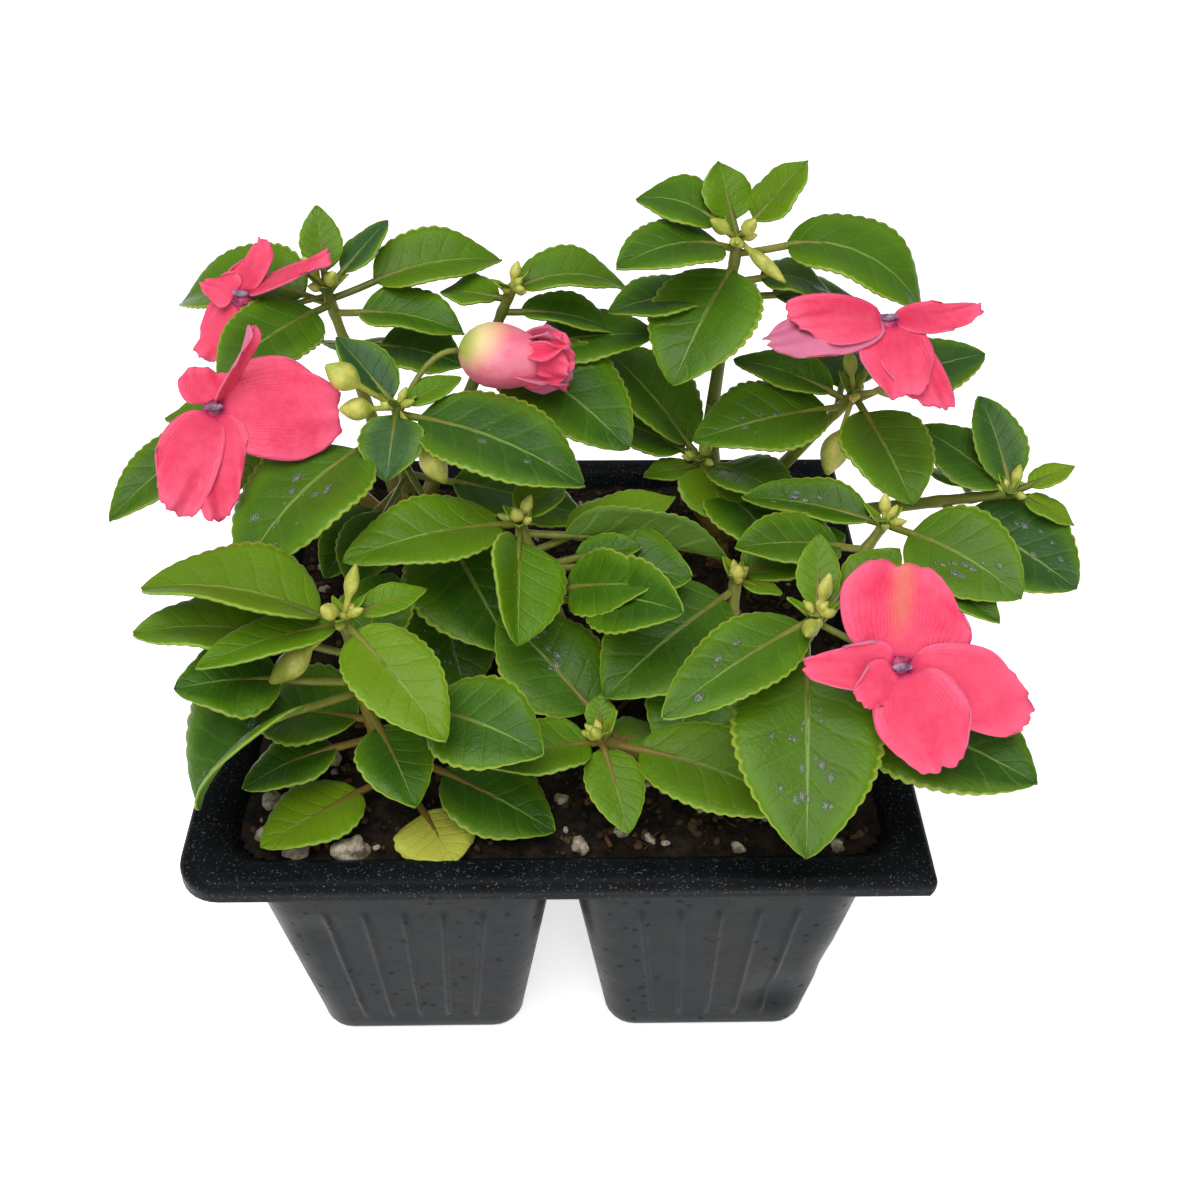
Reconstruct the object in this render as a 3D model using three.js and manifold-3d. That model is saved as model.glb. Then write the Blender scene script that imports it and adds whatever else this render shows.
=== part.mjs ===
// Four busy lizzies in a black four-cell nursery pack.
// Millimetres, +Z up, front towards -Y. All sizes and places below are measured from the middle of
// the pack's foot. At the end the whole is moved so that the middle of its own bounding box is there.
import * as THREE from "three";
import { mergeVertices } from "three/addons/utils/BufferGeometryUtils.js";
import Module from "manifold-3d";

const wasm = await Module();
wasm.setup();

// ---------------------------------------------------------------- driving dimensions

const GAP = 0.3; // clearance between pieces that touch

const PACK = {
  height: 66, // rim top above the table
  rimHalf: 66.5, // half the width of the square rim
  rimCorner: 7, // radius of the one moulded rim corner
  lipDrop: 2.5, // how far the rim turns down at the front and left
  sheet: 0.8, // wall thickness
  shift: 0.8, // the cells sit this far to the right, so the left rim is the wider one
  webTop: 63, // height of the cross between the cells
  kink: 49, // the walls between the cells stand straight above this height
  outerTop: 60.2, // outside walls, from the middle of the pack, at the rim
  outerFoot: 50, // and at the table
  innerTop: 2, // walls that face another cell, from the middle, above the kink
  innerFoot: 9.1, // and at the table
  mouth: 61.6, // half the width of the mouth at the rim top
  flare: 64, // the wall leans out to the rim above this height
  cornerTop: 8, // radius of a cell's corners at the rim
  cornerFoot: 6, // and at the table
  footRound: 3, // how far the wall turns in where it meets the floor
  footRise: [1.4, 4.5], // and at which two heights above the floor it bends
  drain: 4.5, // radius of the drain hole
  notch: [6, 5, 2.6], // size of the drain notch at the floor's edge
};

// The upright ribs on the outside walls of a cell.
const RIB = { count: 5, pitch: 7.4, depth: 0.6, halfWidth: 1, sunk: 0.4, foot: 6, top: 47 };

const SOIL = {
  level: 64,
  roughness: 0.33, // how far each wave of the surface rises and falls
  gridSteps: 8,
  lumps: 14,
  lumpSpread: 55, // lumps lie up to this far from the middle, each way
  lumpSizes: [1.3, 3],
  lumpSunk: 0.15, // share of a lump's size that its middle lies under the surface
  holeDepth: 8, // how deep a main stem stands
};

// Radii of a stem from its foot to a shoot's tip, and how far the tip runs past the crown.
const STEM = { trunk: 2.6, fork: 2, branch: 1.6, shoot: 1.45, tip: 0.9, tipRise: 1.2, bend: 5 };
const BLADE = { thickness: 0.75, teethEvery: 12, toothDepth: 0.075, toothPeak: 0.55 };
const STALK = { start: 0.5, halfWidth: 0.85, thickness: 1.5 };
const FLOWER_STALK = { radius: 0.75, bend: 6, straight: 1, steps: 3 };
const BUD_STALK = { start: 0.3, radius: 0.6 };
const PETAL = {
  thickness: 0.7,
  across: 4, // strips side by side
  along: 2, // and from base to tip
  start: 1.2, // how far from the middle of the bloom it begins
  narrow: 0.1, // width at its base, as a share
  curve: 2.4, // how suddenly its end falls back towards the sides
  notch: 0.08, // depth of the notch in its end
  evenly: 0.3, // a petal less lopsided than this has the notch
  ruffle: 0.8,
};
const CORE = { radius: 2.6, depth: 1.4, front: 1, taper: 0.8 };
const SPUR = { offset: 2, sunk: 0.8, reach: 3, fall: 6, radii: [0.8, 0.6, 0.45] };

// ---------------------------------------------------------------- the plants

// Main stems: where each stands in the soil, its height where it forks, and its branches' ends.
const MAIN_STEMS = {
  front_left: { foot: [-29, -41], fork: [-30, -40, 68], seats: ["front_left", "centre"] },
  front_right: {
    foot: [32, -37],
    fork: [32, -36, 68],
    seats: ["front_right", "front_middle", "centre_right", "right_middle"],
  },
  back_left: {
    foot: [-33, 31],
    fork: [-33, 30, 70],
    seats: ["back_left", "left_middle", "left_side", "back_middle"],
  },
  back_right: {
    foot: [36, 30],
    fork: [36, 30, 70],
    seats: ["back_right", "middle_right", "right_back", "right_side"],
  },
};

// Leafy shoots. Each runs straight from its seat on a main stem to its crown.
// A leaf is [below, turn, rise, stalk, length, width, droop, fold, roll]:
//   below   how far under the crown it grows, along the shoot
//   turn    compass direction in degrees, 0 towards +X and 90 towards +Y
//   rise    upward slope of the leaf stalk in degrees
//   stalk   length of the leaf stalk
//   length, width of the blade
//   droop   how far the blade bends down from base to tip, in degrees
//   fold    how far each half is folded up along the midrib, in degrees
//   roll    turn about the midrib in degrees, with the left half going up
// A bud is [turn, rise, reach, length, thickness], on a thin stalk from the crown.
const SHOOTS = {
  front_left: {
    seat: [-33, -40, 74],
    crown: [-37, -38, 103],
    leaves: [
      [2, 175, 30, 5, 32, 24, 45, 25, 10],
      [1, -150, 15, 2, 25, 11, 25, 15, 0],
      [0, 30, 5, 3, 13, 7, 10, 20, 15],
      [1, -50, -5, 3, 27, 16, 20, 15, 10],
      [8, 180, 20, 12, 27, 17, 35, 20, 0],
      [14, -160, 20, 15, 18, 18, 20, 10, -10],
      [16, -145, 10, 13, 26, 31, 80, 30, 20],
      [23, 165, 0, 3, 22, 20, 20, 20, -10],
      [27, -155, 5, 8, 18, 13, 30, 10, 0],
      [20, -65, 0, 6, 18, 14, 25, 10, 0],
      [18, -30, 15, 15, 23, 19, 30, 10, 20],
      [28, -25, -10, 14, 23, 18, 10, 10, 10],
      [12, 80, 22, 5, 19, 15, 25, 15, 0],
    ],
    buds: [
      [-120, 50, 3, 5, 3],
      [60, 60, 4, 6, 2.6],
      [-150, -30, 8, 9, 5],
    ],
  },
  centre: {
    seat: [1, -19, 85],
    crown: [-7, -10, 103],
    leaves: [
      [0, -155, 15, 4, 31, 18, 25, 15, -10],
      [0, -90, -15, 4, 22, 20, 20, 30, -40],
      [0, 60, 10, 2, 13, 11, 15, 25, 0],
      [2, 0, -2, 8, 33, 19, 20, 45, -45],
      [9, -15, 12, 8, 22, 20, 15, 12, 20],
      [9, -8, 22, 8, 13, 8, 10, 20, 20],
      [6, 28, 8, 8, 24, 13, 10, 15, 0],
      [14, -40, 33, 6, 22, 14, 10, 20, 45],
      [16, -44, 32, 12, 24, 16, 20, 20, 40],
    ],
    buds: [
      [-100, 60, 2, 4, 2.6],
      [40, 60, 2, 4, 2.4],
    ],
  },
  front_middle: {
    seat: [18, -42, 72],
    crown: [8, -44, 79],
    leaves: [
      [1, -160, 15, 3, 20, 15, 25, 15, 0],
      [0, -75, -10, 2, 17, 11, 20, 10, 0],
      [3, -25, 10, 5, 33, 18, 30, 12, 15],
      [0, 90, 30, 2, 7, 6, 5, 15, 0],
      [6, 135, 25, 10, 26, 21, 10, 10, -10],
      [2, 40, -18, 3, 13, 11, 10, 12, 0],
    ],
    buds: [[-120, 60, 2, 4, 2.4]],
  },
  front_right: {
    seat: [37, -39, 78],
    crown: [45, -42, 106],
    leaves: [
      [0, -145, 0, 3, 31, 15, 20, 12, -10],
      [5, -95, -12, 4, 37, 26, 20, 10, 0],
      [0, 85, 40, 2, 13, 8, 5, 15, 0],
      [14, -33, 0, 14, 33, 25, 10, 12, 15],
      [3, 35, 25, 9, 13, 10, 10, 12, 10],
    ],
    buds: [
      [-110, 20, 3, 7, 3],
      [60, 60, 3, 5, 2.6],
    ],
  },
  centre_right: {
    seat: [33, -26, 80],
    crown: [34, -16, 94],
    leaves: [
      [0, 25, 15, 2, 23, 15, 20, 20, 10],
      [2, -140, -5, 3, 31, 25, 20, 10, -10],
      [0, -35, 10, 2, 8, 5, 10, 15, 0],
      [10, -120, -15, 5, 24, 20, 10, 10, 0],
    ],
    buds: [[-90, 60, 2, 4, 3]],
  },
  right_middle: {
    seat: [50, -16, 84],
    crown: [63, -8, 101],
    leaves: [
      [0, -45, 10, 6, 25, 20, 30, 12, 25],
      [7, -45, 10, 9, 22, 13, 25, 30, 10],
      [0, 155, 5, 3, 26, 13, 20, 30, -10],
      [6, -165, 20, 6, 22, 15, 20, 20, -10],
    ],
    buds: [[90, 60, 2, 4, 2.4]],
  },
  left_middle: {
    seat: [-31, 18, 90],
    crown: [-30, 4, 120],
    leaves: [
      [0, 140, 35, 2, 16, 12, 5, 30, 0],
      [0, -95, -20, 2, 14, 13, 15, 15, 0],
      [0, 30, 15, 2, 12, 7, 10, 15, 10],
      [2, -25, 5, 5, 35, 22, 30, 12, 10],
      [6, -130, 0, 11, 33, 27, 40, 10, 5],
      [20, -60, -20, 18, 30, 28, 5, 10, 0],
      [27, -125, -10, 10, 18, 13, 25, 15, -10],
      [30, -72, -25, 24, 24, 20, 10, 10, 0],
      [25, -105, -4, 12, 20, 14, 15, 10, 0],
      [24, -6, -8, 10, 29, 20, 15, 10, 0],
    ],
    buds: [
      [-170, 40, 9, 7, 5.5],
      [-160, 10, 5, 6, 4.5],
      [-45, -40, 9, 8, 5],
    ],
  },
  back_left: {
    seat: [-39, 33, 98],
    crown: [-46, 34, 129],
    leaves: [
      [3, 160, 11, 6, 32, 22, 50, 20, -14],
      [3, -123, 7, 5, 28, 17, 20, 12, -20],
      [0, 100, 55, 4, 13, 9, 5, 15, 0],
      [0, 40, 35, 5, 14, 9, 5, 10, 0],
      [2, 20, 15, 10, 27, 18, 30, 25, 15],
      [5, -15, 10, 6, 22, 15, 30, 25, 10],
      [12, -15, 5, 8, 18, 16, 25, 15, 10],
      [14, 95, -20, 8, 24, 15, 30, 12, 0],
      [18, 55, -15, 8, 24, 15, 30, 12, 0],
    ],
    buds: [
      [-60, 50, 3, 5, 3],
      [150, 50, 3, 5, 3],
    ],
  },
  left_side: {
    seat: [-47, 27, 88],
    crown: [-63, 16, 110],
    leaves: [
      [0, -130, 0, 4, 30, 14, 25, 12, -10],
      [0, 180, 10, 4, 11, 11, 25, 12, 0],
      [0, -85, -20, 4, 12, 9, 20, 12, 0],
      [6, 110, 0, 6, 20, 14, 25, 12, 0],
    ],
    buds: [],
  },
  back_middle: {
    seat: [-22, 30, 98],
    crown: [-9, 34, 129],
    leaves: [
      [0, 15, 20, 2, 24, 15, 60, 25, 10],
      [5, 5, 0, 4, 22, 12, 35, 25, 10],
      [12, -42, -6, 6, 33, 25, 20, 12, 10],
      [2, 170, 10, 2, 12, 13, 20, 15, 0],
      [14, 0, 10, 10, 25, 18, 10, 12, 10],
    ],
    buds: [[60, 60, 2, 4, 2.4]],
  },
  back_right: {
    seat: [33, 32, 104],
    crown: [36, 34, 140],
    leaves: [
      [0, 160, 35, 5, 18, 16, 55, 15, -10],
      [0, 110, 50, 4, 12, 11, 5, 10, 0],
      [0, 25, 45, 5, 15, 13, 5, 10, 0],
      [2, -150, 25, 4, 25, 16, 45, 10, -10],
      [5, -120, -20, 2, 28, 23, 20, 10, 0],
      [3, -20, 20, 11, 32, 21, 80, 12, 10],
      [9, 0, 10, 6, 16, 16, 50, 10, 0],
      [11, -165, 5, 6, 20, 17, 20, 12, 0],
      [13, 90, -15, 8, 26, 16, 30, 12, 0],
      [12, 16, -6, 10, 24, 17, 20, 12, 0],
    ],
    buds: [
      [-60, 50, 3, 5, 3],
      [-160, 40, 3, 5, 3],
      [-40, -25, 3, 10, 3],
    ],
  },
  middle_right: {
    seat: [31, 27, 83],
    crown: [30, 24, 95],
    leaves: [
      [0, 150, 15, 4, 22, 16, 20, 20, -10],
      [0, 136, 38, 4, 30, 21, 20, 25, 0],
      [0, -70, -15, 2, 15, 17, 20, 15, 0],
      [2, -160, 5, 2, 11, 7, 10, 15, -10],
      [2, -48, 20, 5, 22, 16, 30, 15, 0],
      [4, -58, 0, 6, 27, 18, 15, 12, 0],
    ],
    buds: [[-60, 60, 2, 4, 2.4]],
  },
  right_back: {
    seat: [48, 26, 92],
    crown: [60, 20, 113],
    leaves: [
      [4, -160, 5, 4, 29, 21, 15, 12, -10],
      [2, 150, 15, 4, 22, 13, 25, 20, -10],
      [0, -70, -15, 5, 23, 20, 15, 15, 0],
      [4, 15, 20, 11, 21, 17, 20, 12, 10],
      [6, 75, 10, 8, 22, 15, 30, 12, 0],
    ],
    buds: [
      [-20, 20, 5, 6, 3.4],
      [100, 50, 4, 5, 3],
      [-120, -50, 8, 9, 6],
    ],
  },
  right_side: {
    seat: [66, 18, 86],
    crown: [92, 8, 97],
    leaves: [
      [0, 135, 20, 2, 22, 16, 15, 12, -10],
      [0, 105, 45, 2, 20, 12, 25, 25, -10],
      [0, 15, 20, 4, 10, 7, 5, 15, 0],
      [0, -25, -10, 3, 11, 8, 15, 15, 0],
      [15, -47, -2, 6, 28, 26, 10, 10, 15],
      [8, 90, -10, 6, 20, 14, 30, 12, 0],
    ],
    buds: [[60, 60, 2, 4, 2.4]],
  },
};

// Leaves that grow from the side of a main stem near its foot, over the soil. A leaf is
// [turn, rise, stalk, length, width, droop, fold, roll], as above.
const LOW_LEAVES = {
  low_leaf_green: { stem: "front_left", height: 67.5, leaf: [-140, 5, 7, 21, 16, 10, 10, 0] },
  low_leaf_yellow: { stem: "front_left", height: 66.8, leaf: [-62, 0, 9, 13, 16, 5, 5, 0] },
};

// Blooms: the middle, the way the face looks [turn, rise], the stalk's shoot and how far
// below its crown the stalk starts, and five petals
// [turn, rise, length, width, droop, extra roll, neck, round, skew]:
//   neck    how slowly the petal grows broad from its base
//   round   how far its end falls back at the sides, as a share of its length
//   skew    how far the furthest point of its end lies to the left of its middle
const BLOOMS = {
  bloom_back_left: {
    middle: [-61.5, 27, 131.5],
    face: [-100, 60],
    shoot: "back_left",
    below: 1,
    petals: [
      [20, 20, 20, 10, 5, -35, 0.9, 0.4, 0],
      [78, 28, 14, 8, 0, -10, 0.6, 0.7, -0.2],
      [158, 12, 9, 8, 10, 0, 0.6, 0.7, 0],
      [-162, -42, 15, 10, 10, 0, 0.8, 0.5, 0.3],
      [-145, -54, 13, 9, 10, 0, 0.7, 0.5, 0],
    ],
  },
  bloom_left: {
    middle: [-63, -1, 123],
    face: [-80, 50],
    shoot: "left_side",
    below: 0,
    petals: [
      [8, -4, 24, 21, 0, 0, 0.7, 0.45, -0.1],
      [36, 44, 18, 6, -20, 85, 0.8, 0.5, 0],
      [100, 28, 9, 13, 0, 0, 0.5, 0.6, 0.4],
      [-118, -31, 21, 13, 5, 0, 0.9, 0.5, 0.4],
      [-76, -40, 21, 11, 5, 0, 0.9, 0.7, -0.6],
    ],
  },
  bloom_right: {
    middle: [63, 12, 134],
    face: [-80, 70],
    shoot: "right_back",
    below: 0,
    petals: [
      [-175, 12, 19, 13, 25, 0, 0.9, 0.4, -0.5],
      [8, 0, 19, 8, -10, 0, 0.9, 0.5, 0],
      [-82, -26, 17, 15, 10, 0, 0.55, 0.45, 0],
      [-62, -30, 20, 12, 10, 0, 0.8, 0.5, 0.6],
      [-170, -2, 25, 13, 10, 180, 0.9, 0.5, 0],
    ],
  },
  bloom_front_right: {
    middle: [57, -56, 107],
    face: [-90, 35],
    shoot: "front_right",
    below: 1,
    petals: [
      [80, 46, 18, 23, 0, 0, 0.6, 0.6, 0.2],
      [-144, -20, 10, 8, 0, 0, 0.6, 0.6, 0],
      [180, 0, 17, 9, 0, 0, 0.6, 0.8, 0],
      [-10, -14, 23, 14, 0, 0, 0.9, 0.4, -0.3],
      [-66, -35, 19, 16, 0, 0, 0.7, 0.45, 0],
    ],
  },
};

// The large half-open bud.
const BIG_BUD = {
  name: "bud_half_open",
  shoot: "left_middle",
  below: 3,
  base: [-18.5, 14, 126.5],
  turn: 5,
  rise: -10,
  length: 21,
  radius: 6.2,
  ruffles: 5,
  twist: 0.3, // how unevenly the ruffled mouth ends
  longerBelow: 0.05, // share by which its lower side is longer than its middle
};

// ---------------------------------------------------------------- finishes

function finish(color, roughness, metalness = 0) {
  return new THREE.MeshStandardMaterial({ color, roughness, metalness });
}
const BLACK_PLASTIC = finish(0x14171b, 0.5);
const PEAT = finish(0x2b211a, 0.95);
const OCHRE_STEM = finish(0x7d6a30, 0.5);
const LEAF_GREEN = finish(0x4c7d1e, 0.4);
const YOUNG_GREEN = finish(0x8fb32a, 0.4);
const OLD_YELLOW = finish(0xc9c04a, 0.5);
const CORAL_PINK = finish(0xf5566f, 0.55);

// ---------------------------------------------------------------- small tools

const radians = THREE.MathUtils.degToRad;
const vector = (p) => new THREE.Vector3(...p);

// A repeatable draw of numbers from 0 to 1.
function seededDraw(seed) {
  let state = seed;
  return () => {
    state = (state * 16807) % 2147483647;
    return state / 2147483647;
  };
}

// A closed three.js geometry as a solid that can be joined and cut.
function solidOf(geometry) {
  const bare = geometry.clone();
  bare.deleteAttribute("normal");
  bare.deleteAttribute("uv");
  const merged = mergeVertices(bare, 1e-4);
  return new wasm.Manifold(
    new wasm.Mesh({
      numProp: 3,
      vertProperties: merged.attributes.position.array,
      triVerts: new Uint32Array(merged.index.array),
    }),
  );
}

// A solid as a named mesh.
function meshOf(name, solid, material) {
  const data = solid.getMesh();
  const geometry = new THREE.BufferGeometry();
  geometry.setAttribute("position", new THREE.BufferAttribute(data.vertProperties, 3));
  geometry.setIndex(new THREE.BufferAttribute(data.triVerts, 1));
  geometry.computeVertexNormals();
  const mesh = new THREE.Mesh(geometry, material);
  mesh.name = name;
  return mesh;
}

function indexed(points, faces) {
  const geometry = new THREE.BufferGeometry().setFromPoints(points);
  geometry.setIndex(faces.flat());
  return geometry;
}

const joined = (solids) => solids.reduce((whole, solid) => whole.add(solid));

// A closed skin over rings of points that all have the same number of points.
function loft(rings) {
  const n = rings[0].length;
  const points = rings.flat();
  const faces = [];
  for (let r = 0; r + 1 < rings.length; r++) {
    for (let i = 0; i < n; i++) {
      const a = r * n + i;
      const b = r * n + ((i + 1) % n);
      faces.push([a, b, b + n], [a, b + n, a + n]);
    }
  }
  const last = (rings.length - 1) * n;
  for (let i = 1; i + 1 < n; i++) {
    faces.push([0, i + 1, i], [last, last + i, last + i + 1]);
  }
  return solidOf(indexed(points, faces));
}

// A round tube along a line of points, with a radius at each point.
function tube(points, radii, sides) {
  const rings = [];
  let across = null;
  points.forEach((point, i) => {
    const before = points[Math.max(i - 1, 0)];
    const after = points[Math.min(i + 1, points.length - 1)];
    const along = after.clone().sub(before).normalize();
    if (!across) {
      const aside = Math.abs(along.z) < 0.9 ? new THREE.Vector3(0, 0, 1) : new THREE.Vector3(1, 0, 0);
      across = aside.cross(along).normalize();
    }
    across = across.addScaledVector(along, -across.dot(along)).normalize();
    const up = along.clone().cross(across);
    const ring = [];
    for (let k = 0; k < sides; k++) {
      const angle = (2 * Math.PI * k) / sides;
      ring.push(
        point
          .clone()
          .addScaledVector(across, radii[i] * Math.cos(angle))
          .addScaledVector(up, radii[i] * Math.sin(angle)),
      );
    }
    rings.push(ring);
  });
  return loft(rings);
}

// ---------------------------------------------------------------- the pack

// A rounded rectangle at one height, anticlockwise seen from above.
function roundedRing([x0, x1], [y0, y1], z, radius, steps = 2) {
  const corners = [
    [x1 - radius, y1 - radius, 0],
    [x0 + radius, y1 - radius, 90],
    [x0 + radius, y0 + radius, 180],
    [x1 - radius, y0 + radius, 270],
  ];
  return corners.flatMap(([cx, cy, start]) =>
    Array.from({ length: steps + 1 }, (_, k) => {
      const angle = radians(start + (90 * k) / steps);
      return new THREE.Vector3(cx + radius * Math.cos(angle), cy + radius * Math.sin(angle), z);
    }),
  );
}

// How far a cell's outside wall and its inside-facing wall stand from the middle of the pack.
const outerWall = (z) => THREE.MathUtils.lerp(PACK.outerFoot, PACK.outerTop, z / PACK.height);
const innerWall = (z) =>
  z >= PACK.kink ? PACK.innerTop : THREE.MathUtils.lerp(PACK.innerFoot, PACK.innerTop, z / PACK.kink);

// One ring of a cell, in the quarter given by the signs sx and sy, moved in by inset.
function cellRing(sx, sy, z, inset, height = z) {
  const near = innerWall(z) + inset;
  const far = outerWall(z) - inset;
  const span = (s, shift) => (s > 0 ? [shift + near, shift + far] : [shift - far, shift - near]);
  const radius = THREE.MathUtils.lerp(PACK.cornerFoot, PACK.cornerTop, z / PACK.height) - inset / 2;
  return roundedRing(span(sx, PACK.shift), span(sy, 0), height, radius);
}

function cellSolid(sx, sy, top, floor, inset) {
  const [low, high] = PACK.footRise;
  return loft([
    cellRing(sx, sy, 0, inset + PACK.footRound, floor),
    cellRing(sx, sy, floor + low, inset + PACK.footRound / 5),
    cellRing(sx, sy, floor + high, inset),
    cellRing(sx, sy, PACK.kink, inset),
    cellRing(sx, sy, top, inset),
  ]);
}

// One raised rib down an outside wall, of which offset says how far it stands from the middle.
function ribSolid(sx, sy, alongX, offset) {
  const width = (z) => outerWall(z) - innerWall(z);
  const rings = [RIB.foot, RIB.top].map((z) => {
    const middle = innerWall(z) + width(z) / 2;
    const place = (side, out) => {
      const along = middle + (offset * width(z)) / width(RIB.top) + side;
      const away = outerWall(z) + out;
      const [x, y] = alongX ? [along, away] : [away, along];
      return new THREE.Vector3(PACK.shift + sx * x, sy * y, z);
    };
    return [
      place(-RIB.halfWidth, -RIB.sunk),
      place(RIB.halfWidth, -RIB.sunk),
      place(0, RIB.depth),
    ];
  });
  const flip = sx * sy * (alongX ? 1 : -1) < 0;
  return loft(flip ? rings.map((ring) => ring.reverse()) : rings);
}

function rimSolid() {
  const h = PACK.rimHalf;
  const r = PACK.rimCorner;
  const t = PACK.sheet;
  const outline = new THREE.Shape();
  outline.moveTo(h, -h);
  outline.lineTo(h, h);
  outline.lineTo(-h, h);
  outline.lineTo(-h, -h + r);
  outline.absarc(-h + r, -h + r, r, Math.PI, 1.5 * Math.PI, false);
  const flat = { bevelEnabled: false, curveSegments: 6 };
  const plate = new THREE.ExtrudeGeometry(outline, { depth: t, ...flat });
  plate.translate(0, 0, PACK.height - t);
  const lip = new THREE.Shape();
  lip.moveTo(-h, h);
  lip.lineTo(-h, -h + r);
  lip.absarc(-h + r, -h + r, r, Math.PI, 1.5 * Math.PI, false);
  lip.lineTo(h, -h);
  lip.lineTo(h, -h + t);
  lip.lineTo(-h + r, -h + t);
  lip.absarc(-h + r, -h + r, r - t, 1.5 * Math.PI, Math.PI, true);
  lip.lineTo(-h + t, h);
  const turned = new THREE.ExtrudeGeometry(lip, { depth: PACK.lipDrop, ...flat });
  turned.translate(0, 0, PACK.height - PACK.lipDrop);
  return joined([solidOf(plate), solidOf(turned)]);
}

// A ring all round the mouth of the pack.
function mouthRing(half, z) {
  const acrossX = [PACK.shift - half, PACK.shift + half];
  return roundedRing(acrossX, [-half, half], z, PACK.cornerTop, 4);
}

function packSolid() {
  const quarters = [
    [-1, -1],
    [1, -1],
    [1, 1],
    [-1, 1],
  ];
  const { sheet, height, webTop, flare } = PACK;
  const under = webTop - sheet;
  const overlap = 0.4; // how far the cells reach into the mouth above them
  const inward = 0.2; // the wall's inside leans out this much higher up than its outside
  const skin = [
    loft([
      mouthRing(outerWall(under), under),
      mouthRing(outerWall(flare), flare),
      mouthRing(PACK.mouth + sheet, height - sheet),
      mouthRing(PACK.mouth + sheet, height),
    ]),
  ];
  const hollow = [
    loft([
      mouthRing(outerWall(webTop) - sheet, webTop),
      mouthRing(outerWall(flare) - sheet + inward, flare + inward),
      mouthRing(PACK.mouth, height),
      mouthRing(PACK.mouth, height + 1),
    ]),
  ];
  const middle = (PACK.outerFoot + PACK.innerFoot) / 2;
  for (const [sx, sy] of quarters) {
    skin.push(cellSolid(sx, sy, under + overlap, 0, 0));
    hollow.push(cellSolid(sx, sy, webTop + overlap, sheet, sheet));
    const drain = new THREE.CylinderGeometry(PACK.drain, PACK.drain, 4 * sheet, 14);
    drain.rotateX(Math.PI / 2);
    drain.translate(PACK.shift + sx * middle, sy * middle, 0);
    const notch = new THREE.BoxGeometry(...PACK.notch);
    notch.translate(PACK.shift + sx * middle, sy * (PACK.outerFoot - PACK.footRound), 0);
    hollow.push(solidOf(drain), solidOf(notch));
    for (let k = 0; k < RIB.count; k++) {
      const offset = (k - (RIB.count - 1) / 2) * RIB.pitch;
      skin.push(ribSolid(sx, sy, true, offset), ribSolid(sx, sy, false, offset));
    }
  }
  return joined(skin).add(rimSolid()).subtract(joined(hollow));
}

// ---------------------------------------------------------------- the soil

// The surface rises and falls in three crossing waves, each shorter than the one before.
function soilHeight(x, y) {
  const waves =
    Math.sin(x * 0.21 + 1.3) * Math.cos(y * 0.26 - 0.4) +
    0.8 * Math.sin(x * 0.53 - y * 0.41) +
    0.6 * Math.cos(x * 0.83 + y * 0.97 + 2);
  return SOIL.level + SOIL.roughness * waves;
}

// The lumpy layer over the cells and the cross between them.
function soilTop() {
  const half = outerWall(PACK.webTop) - PACK.sheet - GAP;
  const steps = SOIL.gridSteps;
  const bottom = PACK.webTop + GAP;
  const points = [];
  const faces = [];
  const row = steps + 1;
  for (const isTop of [true, false]) {
    for (let j = 0; j <= steps; j++) {
      for (let i = 0; i <= steps; i++) {
        const x = -half + (2 * half * i) / steps;
        const y = -half + (2 * half * j) / steps;
        const z = isTop ? Math.max(soilHeight(x, y), bottom + GAP) : bottom;
        points.push(new THREE.Vector3(PACK.shift + x, y, z));
      }
    }
  }
  const under = row * row;
  for (let j = 0; j < steps; j++) {
    for (let i = 0; i < steps; i++) {
      const a = j * row + i;
      faces.push([a, a + 1, a + row + 1], [a, a + row + 1, a + row]);
      faces.push([under + a, under + a + row + 1, under + a + 1]);
      faces.push([under + a, under + a + row, under + a + row + 1]);
    }
  }
  const edge = [];
  for (let i = 0; i < steps; i++) edge.push(i);
  for (let j = 0; j < steps; j++) edge.push(j * row + steps);
  for (let i = steps; i > 0; i--) edge.push(steps * row + i);
  for (let j = steps; j > 0; j--) edge.push(j * row);
  edge.forEach((a, k) => {
    const b = edge[(k + 1) % edge.length];
    faces.push([a, under + a, under + b], [a, under + b, b]);
  });
  const lumps = joined(soilLumps());
  const trim = loft([mouthRing(half, bottom), mouthRing(half, SOIL.level + 5)]);
  return solidOf(indexed(points, faces)).add(lumps).intersect(trim);
}

// Perlite grains and bark chips that stand out of the surface.
function soilLumps() {
  const draw = seededDraw(41);
  return Array.from({ length: SOIL.lumps }, () => {
    const x = (draw() * 2 - 1) * SOIL.lumpSpread;
    const y = (draw() * 2 - 1) * SOIL.lumpSpread;
    const size = THREE.MathUtils.lerp(...SOIL.lumpSizes, draw());
    const lump = new THREE.OctahedronGeometry(size, 0);
    lump.rotateX(draw() * 3);
    lump.rotateZ(draw() * 3);
    lump.scale(1, 0.8, 0.7);
    lump.translate(PACK.shift + x, y, soilHeight(x, y) - size * SOIL.lumpSunk);
    return solidOf(lump);
  });
}

function soilSolid() {
  const parts = [soilTop()];
  const inset = PACK.sheet + GAP;
  for (const sx of [-1, 1]) {
    for (const sy of [-1, 1]) {
      parts.push(cellSolid(sx, sy, PACK.webTop + 2 * GAP, inset, inset));
    }
  }
  const length = 2 * SOIL.holeDepth;
  const holes = Object.values(MAIN_STEMS).map((stem) => {
    const hole = new THREE.CylinderGeometry(STEM.trunk + GAP, STEM.trunk + GAP, length, 12);
    hole.rotateX(Math.PI / 2);
    hole.translate(stem.foot[0], stem.foot[1], SOIL.level - SOIL.holeDepth + length / 2);
    return solidOf(hole);
  });
  return joined(parts).subtract(joined(holes));
}

// ---------------------------------------------------------------- stems, leaves and petals

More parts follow.
